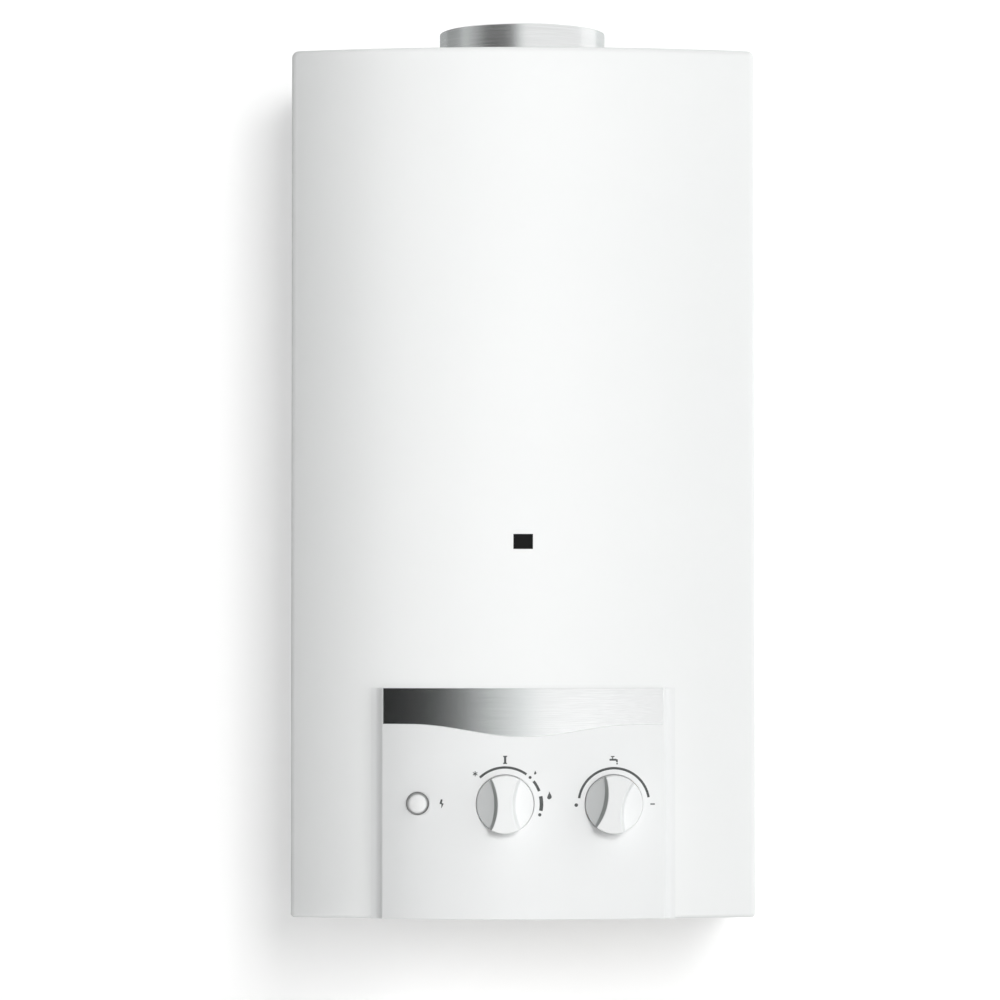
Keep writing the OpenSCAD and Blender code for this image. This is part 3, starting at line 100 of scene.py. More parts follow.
def thickSheet(grid, faces, sheet, facing):
    # each point's normal is the mean of its faces' normals, from the cross product of their diagonals,
    # and the inner copy lies a thickness behind, away from the side that the sheet faces
    points, quads = grid.reshape(-1, 3), gridFaces(*grid.shape[:2])
    a, b, c, d = (points[quads[:, k]] for k in range(4))
    across = np.cross(c - a, d - b)
    normals = np.zeros_like(points)
    for k in range(4):
        np.add.at(normals, quads[:, k], across)
    normals /= np.maximum(np.linalg.norm(normals, axis=1, keepdims=True), mesher["least"])
    normals *= np.sign((normals @ np.array(facing)).sum())
    return closeSheet(points, points - normals * sheet, faces)


def outward(points, faces):
    # a closed surface whose faces point outwards encloses a positive volume
    centred = points - points.mean(0)
    a, b, c, d = (centred[faces[:, k]] for k in range(4))
    volume = np.einsum("ij,ij->i", a, np.cross(b, c)) + np.einsum("ij,ij->i", a, np.cross(c, d))
    return faces[:, ::-1] if volume.sum() < 0 else faces


def joinPatches(patches):
    # closed patches as one mesh, each with its faces turned outwards
    starts = np.cumsum([0, *(len(points) for points, faces in patches)])
    turned = [outward(points, faces) + start for (points, faces), start in zip(patches, starts)]
    return join([points for points, faces in patches]), join(turned)


def addObject(name, data):
    made = bpy.data.objects.new(name, data)
    bpy.context.scene.collection.objects.link(made)
    return made


def makePiece(name, shape, finish, *stands, body="heater", slot=None, sharp=35):
    # a shape is points, faces and, where its finish asks for it, a shade for every point
    points, faces, *shades = shape
    used, faces = np.unique(faces, return_inverse=True)
    points = points[used]
    faces = outward(points, faces.reshape(-1, 4))
    mesh = bpy.data.meshes.new(name)
    mesh.from_pydata(points.tolist(), [], faces.tolist())
    for shade in shades:
        mesh.attributes.new("shade", "FLOAT", "POINT").data.foreach_set("value", shade[used])
    work = bmesh.new()
    work.from_mesh(mesh)
    bmesh.ops.remove_doubles(work, verts=work.verts, dist=mesher["weld"])
    bmesh.ops.dissolve_degenerate(work, edges=work.edges, dist=mesher["sliver"])
    work.to_mesh(mesh)
    work.free()
    mesh.shade_smooth()
    mesh.set_sharp_from_angle(angle=radians(sharp))
    mesh.materials.append(finishes[finish])
    piece = addObject(name, mesh)
    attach(piece, body)
    if stands:
        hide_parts(*stands)
    return piece


def middleOf(node):
    return [(a + b) / 2 for a, b in zip(*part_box(node))]


def spread(anchors, coarse):
    # the anchors in order, with the wide gaps between them filled evenly
    anchors = np.unique(np.round(anchors, mesher["digits"]))
    steps = np.maximum(np.ceil(np.diff(anchors) / coarse).astype(int), 1)
    parts = [a + (b - a) * np.arange(n) / n for a, b, n in zip(anchors[:-1], anchors[1:], steps)]
    return join([*parts, anchors[-1:]])


def roundTurn(count):
    return np.linspace(0, 2 * pi, count, endpoint=False)


def quarter(count):
    return np.linspace(0, pi / 2, count)


def easedStep(t):
    # from nought to one, level at both ends
    t = np.clip(t, 0, 1)
    return t * t * (3 - 2 * t)


def lathe(profile, centre, axis, side, segments):
    # each pair of the profile is a radius and a distance along the axis, turned round it
    axis, side = np.array(axis, float), np.array(side, float)
    turn = roundTurn(segments)[:, None]
    ring = np.cos(turn) * side + np.sin(turn) * np.cross(axis, side)
    points = np.array(centre) + profile[:, None, :1] * ring + profile[:, None, 1:] * axis
    return points.reshape(-1, 3), gridFaces(len(profile), segments, wrap=True)


def holeLines(holes, axis, step, ends, coarse):
    # a hole is its x, z and radius, and the inner and outer square ring of the grid that it is eased between;
    # grid lines lie on all these rings and at the ends, and are spread out between them
    rings = [hole[axis] + step * np.arange(-hole[4], hole[4] + 1) for hole in holes]
    return spread(join([*rings, ends]), coarse)


def punch(x, z, flat, holes, step, windows=()):
    # on a grid's flat part the square rings round each hole are eased into circles of the hole's radius,
    # and the faces inside the innermost ring or inside a window are left out
    faces = gridFaces(*x.shape)
    midX, midZ = (line.ravel()[faces].mean(1) for line in (x, z))
    cut = np.zeros(len(faces), bool)
    newX, newZ = x.copy(), z.copy()
    for holeX, holeZ, r, inner, outer in holes:
        cut |= np.maximum(np.abs(midX - holeX), np.abs(midZ - holeZ)) / step < inner
        dx, dz = x - holeX, z - holeZ
        ring = np.maximum(np.abs(dx), np.abs(dz)) / step
        near = flat & (ring < outer - mesher["ringSlack"]) & (ring > inner - mesher["ringSlack"])
        ux, uz = dx[near] / ring[near], dz[near] / ring[near]
        share = np.clip((ring[near] - inner) / (outer - inner), 0, 1) ** mesher["ringEase"]
        reach = (1 - share) * r / np.hypot(ux, uz) + share * outer
        newX[near] = holeX + reach * ux
        newZ[near] = holeZ + reach * uz
    for w in windows:
        cut |= (np.abs(midX) < w["halfW"]) & (np.abs(midZ - w["z"]) < w["halfH"])
    return newX, newZ, faces[~(cut & flat.ravel()[faces].all(1))]


def foldedRows(rowAt, low, high, zLines, foot, crown):
    # a quarter circle at the foot, straight rows up the wall and a quarter circle at the crown
    a = quarter(mesher["foldSteps"])
    return [*(rowAt(foot * (1 - sin(t)), low + foot * (1 - cos(t))) for t in a),
            *(rowAt(0.0, z) for z in zLines[1:-1]),
            *(rowAt(crown * (1 - cos(t)), high - crown * (1 - sin(t))) for t in a)]


def flatPart(grid, zLines, first, count):
    # marks the wall's rows between its folds, in the columns of its front
    flat = np.zeros(grid.shape[:2], bool)
    flat[mesher["foldSteps"]:mesher["foldSteps"] + len(zLines), first:first + count] = True
    return flat


# Finishes

def addNode(tree, kind, *feeds, **values):
    # feeds go to the sockets in order, a value is a setting or goes to the socket of its name,
    # and what comes out of another node is linked
    made = tree.nodes.new("ShaderNode" + kind)
    for key, value in [*enumerate(feeds), *values.items()]:
        if isinstance(key, str):
            if hasattr(made, key):
                setattr(made, key, value)
                continue
            key = key.replace("_", " ")
        if isinstance(value, bpy.types.NodeSocket):
            tree.links.new(value, made.inputs[key])
        else:
            made.inputs[key].default_value = value
    return made


def noiseField(tree, place, scale, detail=3.0, rough=0.5):
    return addNode(tree, "TexNoise", Vector=place, Scale=scale, Detail=detail, Roughness=rough).outputs["Fac"]


def rampColour(tree, field, socket, stops):
    ramp = addNode(tree, "ValToRGB", Fac=field)
    marks = ramp.color_ramp.elements
    while len(marks) < len(stops):
        marks.new(0.5)
    for mark, (place, colour) in zip(marks, stops):
        mark.position = place
        mark.color = (*colour, 1)
    tree.links.new(ramp.outputs["Color"], socket)


def rampValue(tree, field, socket, low, high, start=0.0, end=1.0):
    span = addNode(tree, "MapRange", Value=field, From_Min=start, From_Max=end, To_Min=low, To_Max=high)
    tree.links.new(span.outputs["Result"], socket)


def shaderOf(made):
    return made.node_tree.nodes["Principled BSDF"].inputs


def layered(name, places, tones, rough, relief, metal, fields):
    # tone, roughness and relief each follow a field over the piece's own place
    made = bpy.data.materials.new(name)
    made.use_nodes = True
    tree, shader = made.node_tree, shaderOf(made)
    made.diffuse_color = shader["Base Color"].default_value = (*tones[-1], 1)
    shader["Metallic"].default_value = metal
    tone, shine, grain = fields(tree, addNode(tree, "TexCoord").outputs["Object"])
    rampColour(tree, tone, shader["Base Color"], list(zip(places, tones)))
    rampValue(tree, shine, shader["Roughness"], *rough)
    bump = addNode(tree, "Bump", Height=grain, Strength=relief[0], Distance=relief[1])
    tree.links.new(bump.outputs["Normal"], shader["Normal"])
    return made


def mottled(name, dark, pale, rough, mottle, peel, relief, places=(0.3, 0.7), fine=2.0):
    # a soft mottle of tone, and a fine grain in the shine and the relief
    def fields(tree, place):
        grain = noiseField(tree, place, peel, fine)
        return noiseField(tree, place, *mottle), grain, grain

    return layered(name, places, (dark, pale), rough, relief, 0.0, fields)


def stovedEnamel(name, dark, pale, rough, patch, peel, coat, detail=2.0, relief=(0.05, 0.0004)):
    # a slow change of tone and a faint orange peel under a clear coat
    made = mottled(name, dark, pale, rough, (patch, detail), peel, relief)
    shader = shaderOf(made)
    shader["Coat Weight"].default_value, shader["Coat Roughness"].default_value = coat
    return made


def mouldedPlastic(name, colour, rough, tones=None, darker=0.975, shine=(-0.05, 0.07), mottle=(14.0, 2.0),
                   peel=2600.0, relief=(0.06, 0.0001)):
    # a very fine spark grain, and where tones are given, a tone that follows the piece's shade attribute: painted
    # shade in the knob's grip hollow and on its wall, and the button's grey skirt
    dark = [darker * c for c in colour]
    made = mottled(name, dark, colour, [rough + change for change in shine], mottle, peel, relief)
    if tones:
        tree = made.node_tree
        base = shaderOf(made)["Base Color"]
        both = addNode(tree, "Mix", 1.0, data_type="RGBA", blend_type="MULTIPLY")
        first, second = (s for s in both.inputs if s.type == "RGBA")
        tree.links.new(base.links[0].from_socket, first)
        rampColour(tree, addNode(tree, "Attribute", attribute_name="shade").outputs["Fac"], second, tones)
        tree.links.new(next(s for s in both.outputs if s.type == "RGBA"), base)
    return made


def dullSurface(name, dark, pale, rough, patch, peel, strength, detail=4.0, depth=0.0003,
                shine=(-0.06, 0.08)):
    # rubber, resin, ceramic and ink
    rough = [rough + change for change in shine]
    return mottled(name, dark, pale, rough, (patch, detail), peel, (strength, depth))


def brushedMetal(name, dark, pale, lines, rough, places=(0.3, 0.7), noise=(1.0, 4.0, 0.6),
                 relief=(0.08, 0.00008)):
    # brushed sheet: noise drawn out along the brush marks
    def fields(tree, place):
        drawn = addNode(tree, "Mapping", Vector=place, Scale=lines).outputs["Vector"]
        return [noiseField(tree, drawn, *noise)] * 3

    return layered(name, places, (dark, pale), rough, relief, 1.0, fields)


def warmMetal(name, dark, middle, pale, rough, patch, peel, places=(0.3, 0.5, 0.72), noise=(6.0, 0.6),
              relief=(0.08, 0.0003)):
    # worked metal: patches of tarnish over a fine grain
    def fields(tree, place):
        stain = noiseField(tree, place, patch, *noise)
        return stain, stain, noiseField(tree, place, peel)

    return layered(name, places, (dark, middle, pale), rough, relief, 1.0, fields)


def zincSheet(name, dark, pale, rough, cell, bloom, peel, places=(0.1, 0.45), blur=0.35, noise=(5.0, 0.6),
              fine=2.0, relief=(0.05, 0.0002)):
    # hot dipped zinc: blurred cells of crystal, each with its own shine, over a slow bloom
    def fields(tree, place):
        cells = addNode(tree, "TexVoronoi", Vector=place, Scale=cell, feature="SMOOTH_F1", Smoothness=blur)
        spangle = addNode(tree, "RGBToBW", cells.outputs["Color"]).outputs["Val"]
        bloomed = noiseField(tree, place, bloom, *noise)
        mixed = addNode(tree, "Math", spangle, bloomed, operation="MULTIPLY").outputs[0]
        return mixed, mixed, noiseField(tree, place, peel, fine)

    return layered(name, places, (dark, pale), rough, relief, 1.0, fields)


coats = {
    # tones, roughness from and to, scales of the slow change and of the peel, weight and roughness of a coat
    stovedEnamel: {
        "white_enamel": ((0.862, 0.867, 0.867), (0.878, 0.882, 0.882), (0.28, 0.38), 5, 520, (0.25, 0.16)),
    },
    # tones, roughness from and to, scales of the cells, the bloom and the grain
    zincSheet: {
        "galvanised": ((0.56, 0.57, 0.585), (0.66, 0.67, 0.68), (0.34, 0.56), 150.0, 22.0, 900.0),
    },
    # colour, roughness, and the tones from no shade to full shade
    mouldedPlastic: {
        "white_plastic": ((0.835, 0.84, 0.843), 0.36),
        # the knob's tones are painted shade: greyer in the hollow at the grip's left and dark on the grip's wall
        # there
        "knob_plastic": ((0.835, 0.84, 0.843), 0.36,
                         [(0.0, (1, 1, 1)), (0.5, (0.8, 0.81, 0.81)), (1.0, (0.34, 0.36, 0.35))]),
        "grey_button": ((0.85, 0.85, 0.85), 0.42, [(0.0, (1, 1, 1)), (1.0, (0.42, 0.42, 0.42))]),
    },
    # tones, how far the brush marks are drawn out along each axis, roughness from and to
    brushedMetal: {
        "silver_band": ((0.79, 0.8, 0.8), (0.86, 0.87, 0.87), (12, 900, 2600), (0.13, 0.2)),
        "flue_metal": ((0.75, 0.76, 0.76), (0.84, 0.85, 0.85), (25, 25, 1800), (0.17, 0.26)),
        "spring_steel": ((0.4, 0.4, 0.41), (0.56, 0.56, 0.57), (900, 900, 900), (0.25, 0.4)),
        "stainless": ((0.5, 0.5, 0.5), (0.64, 0.63, 0.62), (900, 30, 900), (0.28, 0.42)),
        "aluminised": ((0.58, 0.58, 0.57), (0.7, 0.7, 0.69), (160, 160, 160), (0.36, 0.52)),
    },
    # tones, roughness from and to, scales of the tarnish and of the grain
    warmMetal: {
        "brass": ((0.52, 0.36, 0.13), (0.72, 0.52, 0.22), (0.8, 0.62, 0.3), (0.4, 0.24), 38.0, 800.0),
        "cast_alloy": ((0.42, 0.42, 0.42), (0.55, 0.55, 0.55), (0.62, 0.62, 0.61), (0.6, 0.45), 60.0, 700.0),
        "copper": ((0.42, 0.17, 0.09), (0.72, 0.34, 0.2), (0.83, 0.46, 0.31), (0.45, 0.24), 24.0, 900.0),
    },
    # tones, roughness, scales of the mottle and of the grain, strength of the relief
    dullSurface: {
        "black_rubber": ((0.02, 0.02, 0.02), (0.045, 0.045, 0.045), 0.6, 80.0, 900.0, 0.2),
        "red_silicone": ((0.36, 0.03, 0.02), (0.5, 0.06, 0.04), 0.45, 60.0, 1500.0, 0.1),
        "dark_plastic": ((0.03, 0.03, 0.032), (0.055, 0.055, 0.06), 0.42, 90.0, 1800.0, 0.15),
        "white_ceramic": ((0.74, 0.71, 0.64), (0.82, 0.8, 0.74), 0.2, 120.0, 700.0, 0.05),
        # the sight pane's near-black tone is painted shade, in place of the dark chamber seen through it
        "sight_glass": ((0.004, 0.004, 0.004), (0.009, 0.009, 0.009), 0.12, 30.0, 200.0, 0.02),
        "print_ink": ((0.06, 0.065, 0.065), (0.1, 0.105, 0.105), 0.5, 300.0, 2500.0, 0.1),
    },
}
finishes = {name: make(name, *values) for make, table in coats.items() for name, values in table.items()}
# the pane is near black, painted shade for the dark chamber behind it, and it mirrors little
paneMirror = 0.12
shaderOf(finishes["sight_glass"])["Specular IOR Level"].default_value = paneMirror
for part in frame["record"]["subparts"]:
    nodes[part["node"]].data.materials.clear()
    nodes[part["node"]].data.materials.append(finishes[part["material_slot"]])
print("finishes made:", len(finishes))

# Casing: its plan is a bowed arc with rounded corners, and its edges are folded over

caseLow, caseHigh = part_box("front_casing")
casing = {
    **inMm(bow=22, corner=5, fold=2.6, crownFold=4.6, lip=12, sheet=1, notchR=60.95, knobHole=24,
           buttonHole=12.25, step=1.5),
    "half": caseHigh.x, "depth": -caseLow.y, "back": caseHigh.y, "low": caseLow.z,
    "tall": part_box("casing_top")[1].z - caseLow.z, "knobRings": (14, 20), "buttonRings": (7, 12),
    "coarse": (5 * mm, 14 * mm), "sideCols": 16, "cornerCols": 7, "roofRows": 8,
}
window = {"halfW": 6.5 * mm, "halfH": 5 * mm, "z": middleOf("sight_pane")[2]}
bowR = (casing["half"] ** 2 + casing["bow"] ** 2) / (2 * casing["bow"])
bowY = bowR - casing["depth"]
gasX, _, knobZ = frame["joints"][1]["pos_m"]
waterX = frame["joints"][2]["pos_m"][0]
buttonX = middleOf("igniter_button")[0]


def caseFront(x, inset=0.0):
    # the front is an arc of radius bowR through the corners and the middle
    return bowY - np.sqrt((bowR - inset) ** 2 - np.asarray(x) ** 2)


def controlHoles(sheet):
    return [(x, knobZ, sheet[kind + "Hole"], *sheet[kind + "Rings"])
            for x, kind in ((gasX, "knob"), (waterX, "knob"), (buttonX, "button"))]


def makeCasing():
    r, half, lip, step, low = pick(casing, "corner half lip step low")
    high = low + casing["tall"]
    holes = controlHoles(casing)
    cornerX = half - r
    cornerY = bowY - sqrt((bowR - r) ** 2 - cornerX ** 2)
    tipX = cornerX * bowR / (bowR - r)
    # the plan as x, y and the outward direction: a straight side, a round corner, the bow, and both mirrored
    xEnds = [-tipX, tipX, -window["halfW"], window["halfW"]]
    xLines = holeLines(holes, 0, step, xEnds, casing["coarse"][0])
    sideY = np.linspace(casing["back"], cornerY, casing["sideCols"], endpoint=False)
    turn = np.linspace(pi / 2, atan2(cornerX, bowY - cornerY), casing["cornerCols"], endpoint=False)
    side = np.stack([0 * sideY - half, sideY, 0 * sideY - 1, 0 * sideY])
    bend = np.stack([-cornerX - r * np.sin(turn), cornerY - r * np.cos(turn), -np.sin(turn), -np.cos(turn)])
    front = np.stack([xLines, caseFront(xLines), xLines / bowR, (caseFront(xLines) - bowY) / bowR])
    left = join([side, bend], 1)
    right = left[:, ::-1] * np.array([[-1], [1], [-1], [1]])
    px, py, nx, ny = join([left, front, right], 1)
    # inner edge of the return lip: moved in by the lip's width and held inside the inner corner
    lipX = np.clip(px - nx * lip, lip - half, half - lip)
    lipY = np.maximum(py - ny * lip, caseFront(lipX, lip))
    # inner edge of the top: two straight sides and a half circle round the flue, shared out by length
    flueY, notchR = middleOf("flue_collar")[1], casing["notchR"]
    straight, halfArc = casing["back"] - flueY, pi * notchR / 2
    along = join([[0], np.cumsum(np.hypot(np.diff(px), np.diff(py)))])
    along = (along / along[-1] * 2 - 1) * (straight + halfArc)
    bendAngle = np.clip(along / notchR, -pi / 2, pi / 2)
    notchX = notchR * np.sin(bendAngle)
    notchY = flueY - notchR * np.cos(bendAngle) + np.maximum(np.abs(along) - halfArc, 0)

    def rowAt(inset, z):
        return pile(px - nx * inset, py - ny * inset, z)

    zEnds = [low + casing["fold"], high - casing["crownFold"],
             window["z"] - window["halfH"], window["z"] + window["halfH"]]
    zLines = holeLines(holes, 1, step, zEnds, casing["coarse"][1])
    rows = foldedRows(rowAt, low, high, zLines, casing["fold"], casing["crownFold"])
    notch = pile(notchX, notchY, high)
    roof = [rows[-1] + (notch - rows[-1]) * s for s in np.linspace(0, 1, casing["roofRows"] + 1)[1:]]
    grid = np.array([pile(lipX, lipY, low), *rows, *roof])
    flat = flatPart(grid, zLines, left.shape[1], len(xLines))
    x, z, faces = punch(grid[..., 0], grid[..., 2], flat, holes, step, [window])
    y = np.where(flat, caseFront(np.clip(x, -tipX, tipX)), grid[..., 1])
    return thickSheet(pile(x, y, z), faces, casing["sheet"], (0, -1, 0))


makePiece("casing_shell", makeCasing(), "white_enamel", "front_casing", "casing_top")
print("casing made")

# Control panel: a bowed moulding with hollow fillets at its sides

panelLow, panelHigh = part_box("control_panel")
panel = {
    **inMm(halfFace=93, bowR=420, flare=8, flareEdge=0.06, shoulder=1.2, edge=0.9, edgeGap=0.2,
           seatGap=0.1, wall=2.5, wallLeast=0.02, wallGap=0.05, knobHole=19.25, buttonHole=7.6,
           holeRound=0.6, step=1.5),
    "low": panelLow.z, "high": panelHigh.z, "front": -panelLow.y, "flareSteps": 14, "shoulderSteps": 8,
    "knobRings": (10, 17), "buttonRings": (5, 10), "coarse": (5 * mm, 6 * mm),
}


def panelFront(x):
    # the panel's face is an arc whose middle stands furthest out
    return panel["bowR"] - panel["front"] - np.sqrt(panel["bowR"] ** 2 - np.asarray(x) ** 2)


def makePanel():
    half, flare, step, edge, wall = pick(panel, "halfFace flare step edge wall")
    low, high, rim = panel["low"], panel["high"], panel["holeRound"]
    holes = controlHoles(panel)
    flareX = half + flare
    flareY = float(caseFront(flareX)) - panel["flareEdge"] - flare
    drop = float(panelFront(half)) - flareY
    angle = np.linspace(0, atan2(sqrt(flare ** 2 - drop ** 2), drop), panel["flareSteps"])
    hollow = pile(flare * np.sin(angle) - flareX, flareY + flare * np.cos(angle))
    inset = half - panel["shoulder"]
    faceX = holeLines(holes, 0, step, [-inset, inset], panel["coarse"][0])
    # the shoulder is a smooth curve from the hollow's end over the corner to the face
    t = np.linspace(0, 1, panel["shoulderSteps"] + 1)[1:-1, None]
    end = np.array([faceX[0], float(panelFront(faceX[0]))])
    bend = (1 - t) ** 2 * hollow[-2] + 2 * t * (1 - t) * hollow[-1] + t ** 2 * end
    left = join([hollow[:-1], bend])
    px = join([left[:, 0], faceX, -left[::-1, 0]])
    py = join([left[:, 1], panelFront(faceX), left[::-1, 1]])
    tangentX, tangentY = np.gradient(px), np.gradient(py)
    size = np.hypot(tangentX, tangentY)
    nx, ny = tangentY / size, -tangentX / size

    def rowAt(inset, z):
        y = np.minimum(py - ny * inset, caseFront(px) - panel["edgeGap"])
        return pile(px - nx * inset, y, z)

    def seatRow(z):
        return pile(px, caseFront(px) - panel["seatGap"], z)

    zLines = holeLines(holes, 1, step, [low + edge, high - edge], panel["coarse"][1])
    grid = np.array([seatRow(low), *foldedRows(rowAt, low, high, zLines, edge, edge), seatRow(high)])
    flat = flatPart(grid, zLines, len(left), len(faceX))
    x, z, faces = punch(grid[..., 0], grid[..., 2], flat, holes, step)
    y = np.where(flat, panelFront(np.clip(x, -half, half)), grid[..., 1])
    # the rims of the holes are rounded by a quarter circle of the distance from the rim
    for holeX, holeZ, r, *_ in holes:
        away = np.clip(np.hypot(x - holeX, z - holeZ) - r, 0, rim)
        y += np.where(flat, rim - np.sqrt(rim ** 2 - (rim - away) ** 2), 0)
    # the inner rows keep their order: near the ends they are drawn in by up to the wall's thickness
    innerY = y + np.clip(caseFront(x) - y - panel["wallGap"], panel["wallLeast"], wall)
    innerZ = np.interp(z, [low, low + 2 * wall, high - 2 * wall, high],
                       [low + wall, low + 2 * wall, high - 2 * wall, high - wall])
    return closeSheet(pile(x, y, z), pile(x, innerY, innerZ), faces)


makePiece("panel_moulding", makePanel(), "white_plastic", "control_panel")
print("control panel made")

# Metal band along the panel's top

band = {
    **inMm(tall=24.5, bump=8, bumpHalf=75, thick=0.5, round=0.3, proud=0.01, sunk=0.02, coarse=3),
    "rows": 5,
    # distances from an edge at which it is cut into, as shares of its rounding
    "edgeRows": (0, 0.04, 0.13, 0.3, 0.55, 1.0, 2.5),
}


def makeBand():
    half, top, edge = panel["halfFace"], panel["high"], band["round"]
    near = np.array(band["edgeRows"])[:, None] * edge
    x = spread(join([near - half, half - near, [[-half / 2], [half / 2]]]), band["coarse"])
    # the lower edge dips in the middle by half a cosine wave
    wave = 1 + np.cos(pi * np.clip(x / band["bumpHalf"], -1, 1))
    low = top - band["tall"] - 0.5 * band["bump"] * wave
    # the rows beside an edge keep their distance to it, and the rest is shared out evenly
    inside = np.linspace(0, 1, band["rows"] + 1)[1:-1, None] * (top - low - 2 * near[-1]) + low + near[-1]
    z = join([low + near, inside, top - near[::-1] + 0 * low])
    # the edges are rounded by a quarter circle of the distance to the nearest edge
    away = np.minimum(np.minimum(z - low, top - z), half - np.abs(x))
    lift = np.sqrt(np.clip(1 - (1 - np.clip(away / edge, 0, 1)) ** 2, 0, 1)) * band["thick"]
    x = x + 0 * z
    face = pile(x, panelFront(x) - lift - band["proud"], z)
    return closeSheet(face, pile(x, panelFront(x) + band["sunk"], z), gridFaces(*z.shape))


makePiece("panel_trim", makeBand(), "silver_band", "panel_band")
print("band made")

# Knobs: a waisted grip stands between two sloping hollows

knob = {
    **inMm(r=19, waist=4.5, hollowR=36, drop=8, draft=2.4, crown=0.5, rim=0.9, shell=2.5, skirt=16, hub=6,
           bore=3.1, cap=10),
    "slope": tan(radians(33)), "rings": 84, "rimRings": 9, "segments": 300,
    "turns": {"gas_knob": 0.0, "water_knob": radians(10.6)},
    # painted shade beside the grip's left, where its wall and hollow would lie in shade, by shares of the wall's
    # draft, which narrows to the grip's ends
    "paintedShadeAt": ([0.05, 0.25, 1.0, 1.2], [0, 1, 1, 0.5]), "paintedShadeTaper": 0.5,
}


def gripHalf(along):
    # the grip's half width grows along it as a circle does
    return knob["waist"] + knob["hollowR"] - np.sqrt(knob["hollowR"] ** 2 - along ** 2)


def knobHeight(across, along, length):
    # beside the grip the floor drops by an eased step and slopes away, and the rim is a quarter circle
    beside = np.abs(across) - gripHalf(along)
    floor = (knob["drop"] + np.maximum(beside, 0) * knob["slope"]) * easedStep(beside / knob["draft"])
    radius = np.hypot(across, along)
    edge = np.clip(radius - knob["r"] + knob["rim"], 0, knob["rim"])
    rounding = knob["rim"] - np.sqrt(np.maximum(knob["rim"] ** 2 - edge ** 2, 0))
    return length - floor - knob["crown"] * (radius / knob["r"]) ** 2 - rounding


def knobPaintedShade(across, along):
    # painted shade: one for the wall at the grip's left, a half for the hollow there and nought elsewhere
    taper = 1 - knob["paintedShadeTaper"] * (along / knob["r"]) ** 2
    return np.interp((-across - gripHalf(along)) / (knob["draft"] * taper), *knob["paintedShadeAt"])


def makeKnob(x, root, length, turn):
    flatR = knob["r"] - knob["rim"]
    rim = flatR + knob["rim"] * np.sin(quarter(knob["rimRings"]))
    radius = join([np.linspace(0, flatR, knob["rings"], endpoint=False), rim])
    # behind the face the rows are rings, as radius and height: the skirt, its hollow, the hub and the bore
    hollowR, seat = knob["r"] - knob["shell"], length - knob["cap"]
    back = np.array([(knob["r"], 0), (hollowR, 0), (hollowR, knob["skirt"]), (knob["hub"], knob["skirt"]),
                     (knob["hub"], 0), (knob["bore"], 0), (knob["bore"], seat), (0, seat)])
    angle = roundTurn(knob["segments"])
    rings = join([radius, back[:, 0]])[:, None]
    across, along = rings * np.sin(angle), rings * np.cos(angle)
    front = len(radius)
    face = knobHeight(across[:front], along[:front], length)
    height = join([face, back[:, 1:] + 0 * across[front:]])
    # painted shade on the grip's left wall and hollow, and none on the rows behind the face
    shade = knobPaintedShade(across, along)
    shade[front:] = 0
    px = x + across * cos(turn) + along * sin(turn)
    pz = knobZ - across * sin(turn) + along * cos(turn)
    points = pile(px, root - height, pz).reshape(-1, 3)
    return points, gridFaces(len(rings), len(angle), wrap=True), shade.ravel()


knobLow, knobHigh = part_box("gas_knob")
for node, x in (("gas_knob", gasX), ("water_knob", waterX)):
    shape = makeKnob(x, knobHigh.y, knobHigh.y - knobLow.y, knob["turns"][node])
    makePiece(node + "_grip", shape, "knob_plastic", node, body=node, slot="white_plastic")
print("knobs made")

# Igniter button with its stem

button = {
    **inMm(r=7.25, capR=6.2, round=2.6, crown=0.5, flank=6, length=18, stemR=3.1, stemEdge=0.5),
    # the skirt's shade sets in between these distances past the cap's edge
    "shadeFrom": (-0.25 * mm, 0.05 * mm), "faceRings": 12, "rimRings": 9, "segments": 96,
}


def makeButton():
    # a low dome rolls over into a steep flank that widens to the panel, and a straight skirt goes on behind
    low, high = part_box("igniter_button")
    reach, length = high.y - low.y, button["length"]
    r, stemR, edge, roll = pick(button, "r stemR stemEdge round")
    flatR = button["capR"] - roll
    domeR = np.linspace(0, flatR, button["faceRings"], endpoint=False)
    a = quarter(button["rimRings"])
    face = pile(domeR, button["crown"] * (domeR / flatR) ** 2)
    rim = pile(flatR + roll * np.sin(a), button["crown"] + roll * (1 - np.cos(a)))
    back = [(r, button["flank"]), (r, length), (stemR, length), (stemR, reach - edge), (stemR - edge, reach),
            (0, reach)]
    centre = (buttonX, low.y, knobZ)
    points, faces = lathe(join([face, rim, back]), centre, (0, 1, 0), (1, 0, 0), button["segments"])
    away = np.hypot(points[:, 0] - buttonX, points[:, 2] - knobZ) - button["capR"]
    return points, faces, np.interp(away, button["shadeFrom"], [0, 1])


makePiece("igniter_cap", makeButton(), "grey_button", "igniter_button", body="igniter_button")
print("button made")

# Flue collar with a rounded rim and a foot flange

collar = {
    **inMm(bore=55.75, wall=1.2, flange=6, neck=1.5),
    "lipRings": 11, "neckRings": 6, "segments": 192,
}


def makeCollar():
    # the profile runs out along the flange, up a hollow neck, over a half round lip and down the bore
    low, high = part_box("flue_collar")
    bore, wall = collar["bore"], collar["wall"]
    outer, lipR = bore + wall, wall / 2
    a, t = np.linspace(0, pi, collar["lipRings"]), quarter(collar["neckRings"])
    lip = pile(bore + lipR + lipR * np.cos(a), high.z - low.z - lipR + lipR * np.sin(a))
    neck = pile(outer + collar["neck"] * (1 - np.sin(t)), wall + collar["neck"] * (1 - np.cos(t)))
    foot = [(bore, 0), (outer + collar["flange"], 0), (outer + collar["flange"], wall)]
    profile = join([foot, neck, lip, foot[:1]])
    centre = (*middleOf("flue_collar")[:2], low.z)
    return lathe(profile, centre, (0, 0, 1), (1, 0, 0), collar["segments"])


makePiece("flue_spigot", makeCollar(), "flue_metal", "flue_collar")
print("flue collar made")

# Back plate: a sheet with folded sides, pressed beads, wall holes and screw tabs

